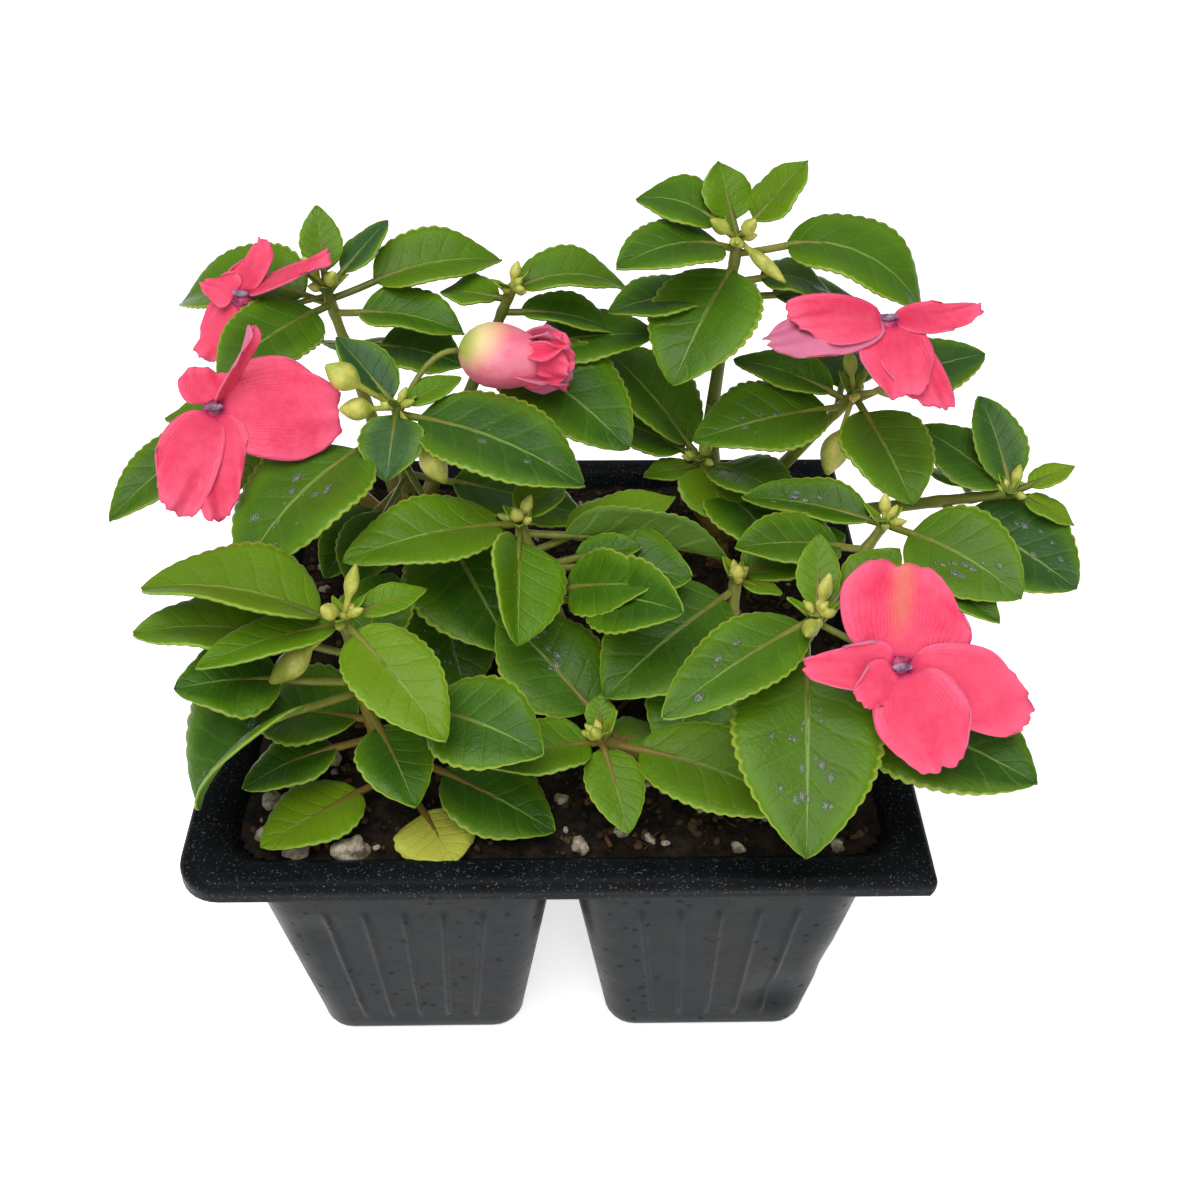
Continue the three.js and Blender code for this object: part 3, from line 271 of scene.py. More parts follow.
# %% The stems, the low leaves and the blooms
MAIN_STEMS = {
    "front_left": ((-29, -41), (-30, -40, 68), ("front_left", "centre")),
    "front_right": (
        (32, -37), (32, -36, 68), ("front_right", "front_middle", "centre_right", "right_middle"),
    ),
    "back_left": (
        (-33, 31), (-33, 30, 70), ("back_left", "left_middle", "left_side", "back_middle"),
    ),
    "back_right": (
        (36, 30), (36, 30, 70), ("back_right", "middle_right", "right_back", "right_side"),
    ),
}
LOW_LEAVES = {
    "low_leaf_green": ("front_left", 67.5, (-140, 5, 7, 21, 16, 10, 10, 0)),
    "low_leaf_yellow": ("front_left", 66.8, (-62, 0, 9, 13, 16, 5, 5, 0)),
}
BLOOMS = {
    "bloom_back_left": dict(
        middle=(-61.5, 27, 131.5),
        face=(-100, 60),
        shoot="back_left",
        below=1,
        petals=[
            (20, 20, 20, 10, 5, -35, 0.9, 0.4, 0), (78, 28, 14, 8, 0, -10, 0.6, 0.7, -0.2),
            (158, 12, 9, 8, 10, 0, 0.6, 0.7, 0), (-162, -42, 15, 10, 10, 0, 0.8, 0.5, 0.3),
            (-145, -54, 13, 9, 10, 0, 0.7, 0.5, 0),
        ],
    ),
    "bloom_left": dict(
        middle=(-63, -1, 123),
        face=(-80, 50),
        shoot="left_side",
        below=0,
        petals=[
            (8, -4, 24, 21, 0, 0, 0.7, 0.45, -0.1), (36, 44, 18, 6, -20, 85, 0.8, 0.5, 0),
            (100, 28, 9, 13, 0, 0, 0.5, 0.6, 0.4), (-118, -31, 21, 13, 5, 0, 0.9, 0.5, 0.4),
            (-76, -40, 21, 11, 5, 0, 0.9, 0.7, -0.6),
        ],
    ),
    "bloom_right": dict(
        middle=(63, 12, 134),
        face=(-80, 70),
        shoot="right_back",
        below=0,
        petals=[
            (-175, 12, 19, 13, 25, 0, 0.9, 0.4, -0.5), (8, 0, 19, 8, -10, 0, 0.9, 0.5, 0),
            (-82, -26, 17, 15, 10, 0, 0.55, 0.45, 0), (-62, -30, 20, 12, 10, 0, 0.8, 0.5, 0.6),
            (-170, -2, 25, 13, 10, 180, 0.9, 0.5, 0),
        ],
    ),
    "bloom_front_right": dict(
        middle=(57, -56, 107),
        face=(-90, 35),
        shoot="front_right",
        below=1,
        petals=[
            (80, 46, 18, 23, 0, 0, 0.6, 0.6, 0.2), (-144, -20, 10, 8, 0, 0, 0.6, 0.6, 0),
            (180, 0, 17, 9, 0, 0, 0.6, 0.8, 0), (-10, -14, 23, 14, 0, 0, 0.9, 0.4, -0.3),
            (-66, -35, 19, 16, 0, 0, 0.7, 0.45, 0),
        ],
    ),
}
BIG_BUD = dict(
    shoot="left_middle",
    below=3,
    base=(-18.5, 14, 126.5),
    turn=5,
    rise=-10,
    length=21,
    radius=6.2,
    longer_below=0.05,
)
print(sum(len(shoot["leaves"]) for shoot in SHOOTS.values()), "leaves")

# %% [markdown]
# ## Material helpers
# A material here is a Principled shader with a few nodes in front of it. A Wire is one value on
# its way through them, so that sums and products can be written as in arithmetic. Patterns read
# the object's own coordinates or attributes painted on the mesh, so they stay on the piece.


# %% Small node tools
class Wire:
    """The output of a node. A sum, difference or product with it makes a Math node."""

    def __init__(self, recipe, socket):
        self.recipe, self.socket = recipe, socket

    def __add__(self, other):
        return self.recipe.math("ADD", self, other)

    def __sub__(self, other):
        return self.recipe.math("SUBTRACT", self, other)

    def __mul__(self, other):
        return self.recipe.math("MULTIPLY", self, other)

    def __abs__(self):
        return self.recipe.math("ABSOLUTE", self)


class Recipe:
    """Builds the nodes of one material or node group, each with one short call."""

    def __init__(self, tree):
        self.tree = tree

    def link(self, source, target):
        if isinstance(source, Wire):
            self.tree.links.new(source.socket, target)
        else:
            target.default_value = (*source, 1) if isinstance(source, tuple) else source

    def feed(self, node, **values):
        """Links or sets a node's inputs by their names, written with _ for a space."""
        for name, value in values.items():
            self.link(value, node.inputs[name.replace("_", " ")])

    def make(self, kind, output, inputs, **settings):
        made = self.tree.nodes.new("ShaderNode" + kind)
        for key, value in settings.items():
            setattr(made, key, value)
        self.feed(made, **inputs)
        return Wire(self, made.outputs[output])

    def math(self, operation, first, second=0.0):
        made = self.tree.nodes.new("ShaderNodeMath")
        made.operation = operation
        self.link(first, made.inputs[0])
        self.link(second, made.inputs[1])
        return Wire(self, made.outputs[0])

    def mix(self, share, first, second):
        return self.make("Mix", "Result", dict(Factor=share, A=first, B=second), data_type="RGBA")

    def paint(self, colour, *coats):
        """Lays coats over a colour. Each coat is its share and its own colour."""
        for share, coat in coats:
            colour = self.mix(share, colour, coat)
        return colour

    def ramp(self, value, low, high, to_low=0.0, to_high=1.0, kind="SMOOTHSTEP"):
        inputs = dict(Value=value, From_Min=low, From_Max=high, To_Min=to_low, To_Max=to_high)
        return self.make("MapRange", "Result", inputs, interpolation_type=kind)

    def attribute(self, name):
        return self.make("Attribute", "Fac", {}, attribute_name=name)

    def place(self):
        return self.make("TexCoord", "Object", {})

    def height(self):
        return self.make("SeparateXYZ", "Z", dict(Vector=self.place()))

    def noise(self, scale, detail=3.0, place=None):
        inputs = dict(Scale=scale, Detail=detail, Roughness=0.6, Vector=place or self.place())
        return self.make("TexNoise", "Fac", inputs)

    def bump(self, height, distance, strength=1.0):
        return self.make("Bump", "Normal", dict(Height=height, Distance=distance, Strength=strength))

    def group(self, tree, **values):
        made = self.tree.nodes.new("ShaderNodeGroup")
        made.node_tree = tree
        self.feed(made, **values)
        return {socket.name: Wire(self, socket) for socket in made.outputs}

    def mottle(self, light, dark, patch, fleck):
        return self.group(mottling, Light=light, Dark=dark, Patch_scale=patch, Fleck_scale=fleck)


def new_material(name):
    material = bpy.data.materials.new(name)
    material.use_nodes = True
    tree = material.node_tree
    return material, Recipe(tree), tree.nodes["Principled BSDF"]


def new_group(name, ins, outs):
    tree = bpy.data.node_groups.new(name, "ShaderNodeTree")
    for way, sockets in (("INPUT", ins), ("OUTPUT", outs)):
        for socket, kind in sockets.items():
            tree.interface.new_socket(socket, in_out=way, socket_type="NodeSocket" + kind)
    recipe = Recipe(tree)
    given = tree.nodes.new("NodeGroupInput").outputs
    return recipe, {name: Wire(recipe, given[name]) for name in ins}, tree.nodes.new("NodeGroupOutput")


# %% [markdown]
# ## Mottling
# Nothing that grew or lay in a nursery has one even colour. This group mixes two colours in
# soft cloudy patches with finer flecks inside, and is used by the leaves, stems, soil and pack.

# %% The mottling group
def make_mottling():
    ins = {"Light": "Color", "Dark": "Color", "Patch scale": "Float", "Fleck scale": "Float"}
    recipe, given, out = new_group("mottling", ins, {"Color": "Color", "Patches": "Float"})
    place = recipe.place()
    patches = recipe.noise(given["Patch scale"], 2.0, place)
    flecks = recipe.noise(given["Fleck scale"], 4.0, place)
    share = recipe.ramp(patches * 0.7 + flecks * 0.3, 0.35, 0.65)
    recipe.feed(out, Color=recipe.mix(share, given["Dark"], given["Light"]), Patches=patches)
    return recipe.tree


mottling = make_mottling()


def mottled_material(name, light, dark, patch, fleck, grain=None, **surface):
    """A plain mottled skin. The grain is a noise's scale and detail, its depth and strength."""
    material, recipe, shader = new_material(name)
    skin = recipe.mottle(light, dark, patch, fleck)
    recipe.feed(shader, Base_Color=skin["Color"], **surface)
    if grain:
        scale, detail, depth, strength = grain
        recipe.feed(shader, Normal=recipe.bump(recipe.noise(scale, detail), depth, strength))
    return material


# %% [markdown]
# ## Leaf veins
# A leaf has one midrib, six or seven pairs of side veins that lean towards the tip, and a thin
# pale line along its toothed edge. The mesh carries two attributes for this: *across*, from -1
# at the right edge to 1 at the left, and *along*, from 0 at the base to 1 at the tip. The group
# turns them into three masks, so a vein follows its leaf however the blade is bent.

# %% The vein group
SIDE_VEINS = 6.5
VEIN_LEAN = 0.2


def make_veins():
    outs = dict.fromkeys(("Midrib", "Side veins", "Edge"), "Float")
    recipe, _, out = new_group("leaf veins", {}, outs)
    across, along = abs(recipe.attribute("across")), recipe.attribute("along")
    thin = recipe.ramp(along, 0.0, 1.0, 0.055, 0.02, "LINEAR")
    midrib = recipe.ramp(across, thin * 0.45, thin * 1.6, 1.0, 0.0)
    lean = recipe.math("POWER", across, 0.8) * VEIN_LEAN
    wobble = (recipe.noise(180.0, 1.0) - 0.5) * 0.06
    phase = recipe.math("FRACT", (along - lean + wobble + 1.0) * SIDE_VEINS)
    vein = recipe.ramp(abs(phase - 0.5), 0.02, 0.13, 1.0, 0.0)
    inner = recipe.ramp(across, 0.75, 0.98, 1.0, 0.0)
    edge = recipe.ramp(across, 0.93, 0.985)
    recipe.feed(out, Midrib=midrib, Side_veins=vein * inner, Edge=edge)
    return recipe.tree


veins = make_veins()

# %% [markdown]
# ## Leaf material
# Old leaves are deep green, young ones yellow-green, and every leaf is painted lighter towards its
# edge: painted light, as if shining through the thin margin.
# The attributes *age* (1 young, 0 full-grown, 2 faded, -1 a bluish cast that is painted sheen), *tone*
# (its own chance) and *under* (1 below) choose between the colours. The upper side is glossy, the
# underside matt.

# %% The leaf material
def make_leaf_material():
    material, recipe, shader = new_material("leaf")
    marks = recipe.group(veins)
    across = abs(recipe.attribute("across"))
    age, tone, under = (recipe.attribute(name) for name in ("age", "tone", "under"))
    grown = recipe.mottle((0.048, 0.138, 0.005), (0.018, 0.067, 0.004), 110, 1400)
    fresh = recipe.mix(tone, (0.1, 0.22, 0.004), (0.18, 0.29, 0.006))
    shade = recipe.mix(tone, (0.012, 0.052, 0.003), (0.066, 0.158, 0.005))
    blade = recipe.paint(
        grown["Color"],
        (0.55, shade),
        (age, fresh),
        (recipe.ramp(age, -1.0, 0.0, 0.8, 0.0), (0.03, 0.085, 0.026)),  # a bluish cast on some leaves: painted sheen
        (recipe.ramp(across, 0.5, 1.0, 0.0, 0.55), (0.115, 0.24, 0.004)),  # the lighter margin: painted light shining through the edge
        (marks["Side veins"] * 0.1, (0.13, 0.25, 0.02)),
        (marks["Midrib"] * 0.65, (0.24, 0.36, 0.08)),
        (marks["Edge"] * 0.75, (0.33, 0.43, 0.05)),
        (recipe.ramp(age, 1.0, 2.0) * 0.85, (0.5, 0.5, 0.07)),  # a fading leaf
    )
    below = recipe.mix(marks["Side veins"], (0.09, 0.18, 0.02), (0.13, 0.23, 0.04))
    gloss = recipe.ramp(grown["Patches"], 0.3, 0.7, 0.33, 0.46)
    groove = recipe.math("MAXIMUM", marks["Midrib"], marks["Side veins"]) * 0.25
    relief = recipe.noise(1100.0, 2.0) * 0.6 - groove
    recipe.feed(
        shader,
        Base_Color=recipe.mix(under, blade, below),
        Roughness=gloss + under * 0.25,
        Specular_IOR_Level=0.2,
        Normal=recipe.bump(relief, 0.0003),
    )
    return material


leaf_material = make_leaf_material()


# %% [markdown]
# ## Stems, buds, petals and water
# The stems are juicy and half clear, green above and ochre-brown lower down. The buds are
# yellow-green. A petal is coral pink, strongest near its base and lighter at its rim, with
# fine lines that fan out; below it is a cooler, darker pink. One petal keeps the mark of the
# fold it had in its bud. Drops of water lie on leaves that were just sprinkled.

# %% The stem, petal, bud and water materials
def make_stem_material():
    material, recipe, shader = new_material("stem")
    skin = recipe.mottle((0.2, 0.21, 0.03), (0.09, 0.12, 0.01), 90, 700)
    low = recipe.ramp(recipe.height(), 0.068, 0.1, 0.75, 0.0)
    recipe.feed(
        shader,
        Base_Color=recipe.mix(low, skin["Color"], (0.19, 0.095, 0.02)),
        Roughness=0.38,
        Specular_IOR_Level=0.3,
        Normal=recipe.bump(recipe.noise(1500.0), 0.0002, 0.4),
    )
    return material


def make_petal_material():
    material, recipe, shader = new_material("petal")
    across, along, under, folded = (
        recipe.attribute(name) for name in ("across", "along", "under", "age")
    )
    soft = recipe.mottle((0.82, 0.075, 0.15), (0.7, 0.035, 0.1), 110, 900)
    rim = recipe.math("MAXIMUM", recipe.ramp(along, 0.75, 1.0), recipe.ramp(abs(across), 0.7, 1.0))
    fan = recipe.math("ARCTANGENT", across * 1.5) * 15.0
    line = recipe.math("FRACT", fan + recipe.noise(250.0) * 2.5 + 40.0)
    line = recipe.ramp(abs(line - 0.5), 0.0, 0.25, 1.0, 0.0) * recipe.ramp(along, 0.3, 1.0, 0.3, 0.04)
    crease = recipe.ramp(abs(across - 0.08), 0.0, 0.3, 0.42, 0.0) * recipe.ramp(along, 0.05, 0.55)
    colour = recipe.paint(
        soft["Color"],
        (rim * 0.45, (0.86, 0.14, 0.26)),
        (recipe.ramp(along, 0.0, 0.1, 0.7, 0.0), (0.45, 0.01, 0.1)),  # the deep throat
        (line, (0.6, 0.02, 0.08)),
        (crease * folded, (0.55, 0.25, 0.09)),
        (under, (0.58, 0.15, 0.26)),
    )
    crinkle = recipe.noise(260.0, 2.0) + line * -0.3
    recipe.feed(
        shader,
        Base_Color=colour,
        Roughness=0.5,
        Specular_IOR_Level=0.25,
        Normal=recipe.bump(crinkle, 0.0008, 0.6),
    )
    return material


def make_water_material():
    material, recipe, shader = new_material("water")
    recipe.feed(shader, Base_Color=(1, 1, 1), Transmission_Weight=0.94, IOR=1.33, Roughness=0.05)
    return material


BUD_GRAIN = (1800.0, 3.0, 0.0002, 0.5)
stem_material = make_stem_material()
petal_material = make_petal_material()
water_material = make_water_material()
bud_material = mottled_material(
    "bud", (0.6, 0.56, 0.12), (0.3, 0.35, 0.035), 220, 1500, BUD_GRAIN, Roughness=0.45
)


# %% [markdown]
# ## Growing a tube
# Stems, stalks and buds are all rings joined into a skin. The first ring is a circle from
# bmesh; every further ring is an extrusion of the one before, moved to its own place. The ends
# are filled, so the skin is closed.

# %% A skin over rings
def ring_edges(shape, ring):
    return [shape.edges.get((vert, ring[(i + 1) % len(ring)])) for i, vert in enumerate(ring)]


def extrude_ring(shape, ring, places):
    """Pulls a new ring out of the last one and moves it to its places."""
    made = bmesh.ops.extrude_edge_only(shape, edges=ring_edges(shape, ring))["geom"]
    fresh = {item for item in made if isinstance(item, bmesh.types.BMVert)}
    following = []
    for vert, place in zip(ring, places):
        partners = (edge.other_vert(vert) for edge in vert.link_edges)
        partner = next(other for other in partners if other in fresh)
        partner.co = place
        following.append(partner)
    return following


def skin_over(shape, rings, material=0, closed=True):
    """Joins rings with equally many points into one skin and gives its faces a material."""
    before = len(shape.faces)
    first = bmesh.ops.create_circle(shape, segments=len(rings[0]), radius=1)["verts"]
    for vert, place in zip(first, rings[0]):
        vert.co = place
    all_rings = [first]
    for places in rings[1:]:
        all_rings.append(extrude_ring(shape, all_rings[-1], places))
    if closed:
        for ring in (first, all_rings[-1]):
            bmesh.ops.contextual_create(shape, geom=ring)
    shape.faces.ensure_lookup_table()
    made = shape.faces[before:]
    bmesh.ops.recalc_face_normals(shape, faces=made)
    for face in made:
        face.material_index = material
    return all_rings


def grow_tube(shape, points, radii, sides=8, material=0):
    """A round stem along points, with a radius at each."""
    rings = []
    across = None
    turns = [math.tau * k / sides for k in range(sides)]
    for i, point in enumerate(points):
        along = (points[min(i + 1, len(points) - 1)] - points[max(i - 1, 0)]).normalized()
        if across is None:
            aside = Vector((0, 0, 1)) if abs(along.z) < 0.9 else Vector((1, 0, 0))
            across = aside.cross(along)
        across = (across - along * across.dot(along)).normalized()
        up = along.cross(across)
        rings.append([point + (across * math.cos(t) + up * math.sin(t)) * radii[i] for t in turns])
    return skin_over(shape, rings, material)


def bent(start, bend, end, steps):
    """Points on the smooth bow from start to end that heads for bend."""
    return [
        start * (1 - t) ** 2 + bend * (2 * t * (1 - t)) + end * t**2
        for t in (k / steps for k in range(steps + 1))
    ]


def direction(turn, rise):
    t, r = math.radians(turn), math.radians(rise)
    return Vector((math.cos(t) * math.cos(r), math.sin(t) * math.cos(r), math.sin(r)))


# %% [markdown]
# ## A place on a blade
# Leaves and petals droop along a circular bow, lean to one side and fold. One function turns
# "this far along, this far out, this far above" into a place, so that the outline, the folds
# and the waves of a blade can each be written on their own.

# %% Places on a bent blade
LEAF_PLAN = ("turn", "rise", "stalk", "length", "width", "droop", "fold", "roll")
ALMOST_STRAIGHT = 1e-6


def blade_place(base, leaf, along, out, lift):
    turn, rise, droop, roll = (math.radians(leaf[name]) for name in ("turn", "rise", "droop", "roll"))
    droop = droop or ALMOST_STRAIGHT
    slope = rise - droop * along
    reach = leaf["length"] * (math.sin(rise) - math.sin(slope)) / droop
    climb = leaf["length"] * (math.cos(slope) - math.cos(rise)) / droop
    ahead = Vector((math.cos(turn), math.sin(turn), 0))
    aside = Vector((-math.sin(turn), math.cos(turn), 0))
    normal = Vector((0, 0, 1)) * math.cos(slope) - ahead * math.sin(slope)
    side = aside * math.cos(roll) + normal * math.sin(roll)
    up = normal * math.cos(roll) - aside * math.sin(roll)
    return base + ahead * reach + Vector((0, 0, climb)) + side * out + up * lift


def ovate(along):
    """Half the width of a leaf blade as a share of its whole width."""
    return 0.5 * math.sin(math.pi * along**0.78) ** 0.65 * (1 - 0.22 * along**5)


# %% [markdown]
# ## One sheet, two faces
# A blade starts as one bmesh grid, whose points are moved to their places. Then it gets a
# thickness: its faces are copied, turned over, moved down along the normals, and the two edges
# are bridged. The attributes that the materials read are painted on the points.

# %% The thickness of a blade
ATTRIBUTES = ("across", "along", "tone", "age", "under")


def new_shape():
    """An empty bmesh with the attributes that the plant's materials read."""
    shape = bmesh.new()
    for name in ATTRIBUTES:
        shape.verts.layers.float.new(name)
    return shape


def grid_sheet(shape, strips, rows, place_of, paint, thickness):
    """A closed sheet over a grid. place_of(across, along) gives each point's place."""
    layers = {name: shape.verts.layers.float[name] for name in ATTRIBUTES}
    grid = bmesh.ops.create_grid(shape, x_segments=strips, y_segments=rows, size=1)["verts"]
    for vert in grid:
        across, along = -vert.co.x, (vert.co.y + 1) / 2
        vert.co = place_of(across, along)
        for name, value in dict(paint, across=across, along=along).items():
            vert[layers[name]] = value
    faces = list({face for vert in grid for face in vert.link_faces})
    edges = list({edge for face in faces for edge in face.edges})
    upper_rim = [edge for edge in edges if edge.is_boundary]
    for item in faces + list(grid):
        item.normal_update()
    copy = bmesh.ops.duplicate(shape, geom=grid + edges + faces)["geom"]
    lower, lower_edges, lower_faces = (
        [item for item in copy if isinstance(item, kind)]
        for kind in (bmesh.types.BMVert, bmesh.types.BMEdge, bmesh.types.BMFace)
    )
    lower_rim = [edge for edge in lower_edges if edge.is_boundary]
    for vert in lower:
        vert.co = vert.co - vert.normal * thickness
        vert[layers["under"]] = 1
    bmesh.ops.reverse_faces(shape, faces=lower_faces)
    bmesh.ops.bridge_loops(shape, edges=upper_rim + lower_rim)


# %% [markdown]
# ## A leaf
# The edge of a busy lizzie's leaf has rounded teeth that point forward, each ending in a tiny
# tip. Three rows of the grid make one tooth. Between the side veins the blade swells a little,
# which gives the upper side its quilted light. A drop of water is a flattened ball on it.

# %% Grow one leaf
DROP = {"flat": 0.42, "long": 1.5, "step": 0.01, "material": 3}
LEAF = {
    "thickness": 0.4,
    "strips": 14,
    "tooth": 2.2,
    "tooth_depth": 0.024,
    "quilt": 0.14,
    "cup": 0.09,  # how far the margin bends down, as a share of half the width
    "full_width": 16,  # narrower leaves wave and swell less
}
TOOTH = (-1.0, 0.5, 1.0)
STALK = {"start": 0.5, "radius": 0.75, "end": 0.04}
# The midrib below the blade: how far along, and its radius there.
MIDRIB = ((0.2, 0.55), (0.4, 0.42), (0.6, 0.3), (0.8, 0.15))


def set_material(verts, material):
    for face in {face for vert in verts for face in vert.link_faces}:
        face.material_index = material


def place_drop(shape, place_of, across, along, radius):
    """A flattened drop of water that lies on a blade's upper side."""
    middle = place_of(across, along)
    ahead = (place_of(across, along + DROP["step"]) - middle).normalized()
    aside = (place_of(across + DROP["step"], along) - middle).normalized()
    up = ahead.cross(aside).normalized()
    turn = Matrix((ahead, up.cross(ahead), up)).transposed().to_4x4()
    size = Matrix.Diagonal((radius * DROP["long"], radius, radius * DROP["flat"], 1))
    place = Matrix.Translation(middle) @ turn @ size
    made = bmesh.ops.create_icosphere(shape, subdivisions=2, radius=1, matrix=place)
    set_material(made["verts"], DROP["material"])


def grow_leaf(shape, foot, plan, chance, age, drops=0):
    """The stalk, the blade and the midrib below it."""
    leaf = dict(zip(LEAF_PLAN, plan))
    away = direction(leaf["turn"], leaf["rise"])
    base = foot + away * leaf["stalk"]
    teeth = max(4, round(leaf["length"] / LEAF["tooth"]))
    fold = math.radians(leaf["fold"])
    small = min(1, leaf["width"] / LEAF["full_width"])
    wave = chance.uniform(0, math.tau)
    wave_size = chance.uniform(0.2, 0.6) * small

    def place_of(across, along):
        row = round(along * 3 * teeth)
        tooth = TOOTH[row % 3] * LEAF["tooth_depth"] * min(1, along * 6)
        edge = abs(across) ** 5
        half = leaf["width"] * ovate(along) * (1 + tooth * edge)
        half = max(half, STALK["radius"] * (1 - along) + 0.05)
        out = half * math.copysign(abs(across) ** 1.2, across)
        folded = math.sqrt(out * out + 0.5) - 0.7
        lift = max(folded, 0) * math.sin(fold)
        vein = (along - VEIN_LEAN * abs(across) ** 0.8 + 1) * SIDE_VEINS
        swell = 0.5 - 0.5 * math.cos(math.tau * (vein - 0.5))
        lift += LEAF["quilt"] * small * swell * (1 - edge) * math.sin(math.pi * along) ** 0.5
        lift += wave_size * math.sin(wave + 11 * along + 2 * across) * across**2
        lift -= LEAF["cup"] * half * across**4
        return blade_place(base, leaf, along, out * math.cos(fold), lift)

    paint = {"age": age, "tone": chance.random()}
    for _ in range(drops):
        across, along = chance.uniform(-0.55, 0.55), chance.uniform(0.3, 0.8)
        place_drop(shape, place_of, across, along, chance.uniform(0.25, 0.8))
    grid_sheet(shape, LEAF["strips"], 3 * teeth, place_of, paint, LEAF["thickness"])
    stalk_end = blade_place(base, leaf, STALK["end"], 0, -0.2)
    middle = foot.lerp(base, 0.5) - Vector((0, 0, 0.04 * leaf["stalk"]))
    points = bent(foot + away * STALK["start"], middle, stalk_end, 5)
    points += [blade_place(base, leaf, s, 0, -0.25) for s, _ in MIDRIB]
    radii = [STALK["radius"]] * 6 + [radius for _, radius in MIDRIB]
    grow_tube(shape, points, radii, 7, material=1)


# %% [markdown]
# ## Buds and crowns
# A small bud is an egg on a thin stalk with a short tip. Where a shoot ends, the youngest
# leaves stand in a tuft around it.

# %% Grow one small bud
BUD_STALK = {"start": 0.3, "radius": 0.55}


def grow_bud(shape, crown, plan):
    turn, rise, reach, length, thickness = plan
    away = direction(turn, rise)
    profile = [(BUD_STALK["start"], BUD_STALK["radius"]), (reach * 0.95, BUD_STALK["radius"])]
    for s in (k / 8 for k in range(1, 8)):
        profile.append((reach + length * s, thickness / 2 * math.sin(math.pi * s**0.8) ** 0.7))
    profile.append((reach + length, thickness / 12))
    points = [crown + away * distance for distance, _ in profile]
    grow_tube(shape, points, [radius for _, radius in profile], 10, material=2)


def grow_tuft(shape, crown, along, chance):
    """The folded youngest leaves and the beads of buds at a shoot's tip."""
    for k in range(3):
        turn = 120 * k + chance.uniform(0, 60)
        plan = (turn, chance.uniform(35, 65), 0.4, chance.uniform(4, 6), 2.4, 10, 35, 0)
        grow_leaf(shape, crown - along * 0.5, plan, chance, age=1.0)
    for k in range(5):
        plan = (chance.uniform(0, 360), chance.uniform(5, 60), 1.2, chance.uniform(2.2, 3.4), 1.8)
        grow_bud(shape, crown, plan)


# %% [markdown]
# ## The leafy shoots
# Each shoot is one piece: its stem with a slight knuckle where a leaf grows, its leaves, its
# buds, and the stalks of its blooms. A leaf is younger the nearer it is to the crown and the
# smaller it is.

# %% How old and how wet the leaves are, and which get a bluish painted sheen
# Leaves that are fresher than their place tells, or, below 0, given a bluish painted sheen, by their
# number.
FRESH_AND_SHEEN = {
    "front_left": {0: 0.5, 1: 0.6, 2: 0.9, 3: 0.7, 4: 0.4},
    "centre": {0: 0.3, 1: 0.7, 2: 0.8, 3: 0.5, 6: 0.6},
    "front_middle": {0: 0.5, 1: 0.2, 2: 0.35},
    "front_right": {0: 0.3, 1: 0.3},
    "centre_right": {0: 0.5},
    "right_middle": {0: 0.1},
    "left_middle": {0: -0.9, 1: -0.9, 2: 0.5, 3: -0.3},
    "back_left": {0: 0.5, 3: -0.8, 4: 0.4},
    "back_right": {5: 0.4},
    "right_back": {3: -0.5},
    "right_side": {0: -0.3, 1: -0.6, 4: -0.5},
}
# Leaves that were sprinkled with water, and with how many drops.
DROPS = {
    "front_right": {0: 6, 1: 18},
    "left_middle": {3: 4, 4: 16, 7: 14},
    "front_left": {6: 8},
    "front_middle": {4: 8},
    "right_middle": {0: 12, 2: 8},
    "right_side": {4: 10},
    "right_back": {0: 5},
    "centre": {3: 8},
}


def leaf_age_and_sheen(name, number, below, length):
    nearness = max(0, 1 - below / 10)
    smallness = min(1, max(0, (20 - length) / 10))
    age = min(1, 0.2 * nearness + 0.65 * smallness * nearness)
    special = FRESH_AND_SHEEN.get(name, {}).get(number, 0)
    # Below 0 the leaf gets the bluish painted sheen instead of an age.
    return special if special < 0 else max(age, special)


# %% Grow the shoots
STEM = {"trunk": 2.6, "fork": 2.0, "shoot": 1.45, "tip": 0.9, "past": 1.2}
KNUCKLE = {"height": 0.25, "length": 1.1}
FLOWER_STALK = {"radius": 0.6, "bend": 6, "steps": 8}
GAP = 0.3
CORE = {"radius": 2.6, "depth": 1.4}


def grow_flower_stalk(shape, start, end, along):
    points = bent(start, end - along * FLOWER_STALK["bend"], end, FLOWER_STALK["steps"])
    grow_tube(shape, points, [FLOWER_STALK["radius"]] * len(points), 8, material=1)


def grow_shoot_stem(shape, seat, along, length, knuckles):
    points, radii = [], []
    steps = max(6, round(length / 1.5))
    for k in range(steps + 1):
        distance = (length + STEM["past"]) * k / steps
        offs = ((length - distance - knuckle) / KNUCKLE["length"] for knuckle in knuckles)
        swell = min(1, sum(math.exp(-(off**2)) for off in offs))
        points.append(seat + along * distance)
        thin = (STEM["tip"] - STEM["shoot"]) * k / steps
        radii.append(STEM["shoot"] + thin + KNUCKLE["height"] * swell)
    grow_tube(shape, points, radii, 12, material=1)


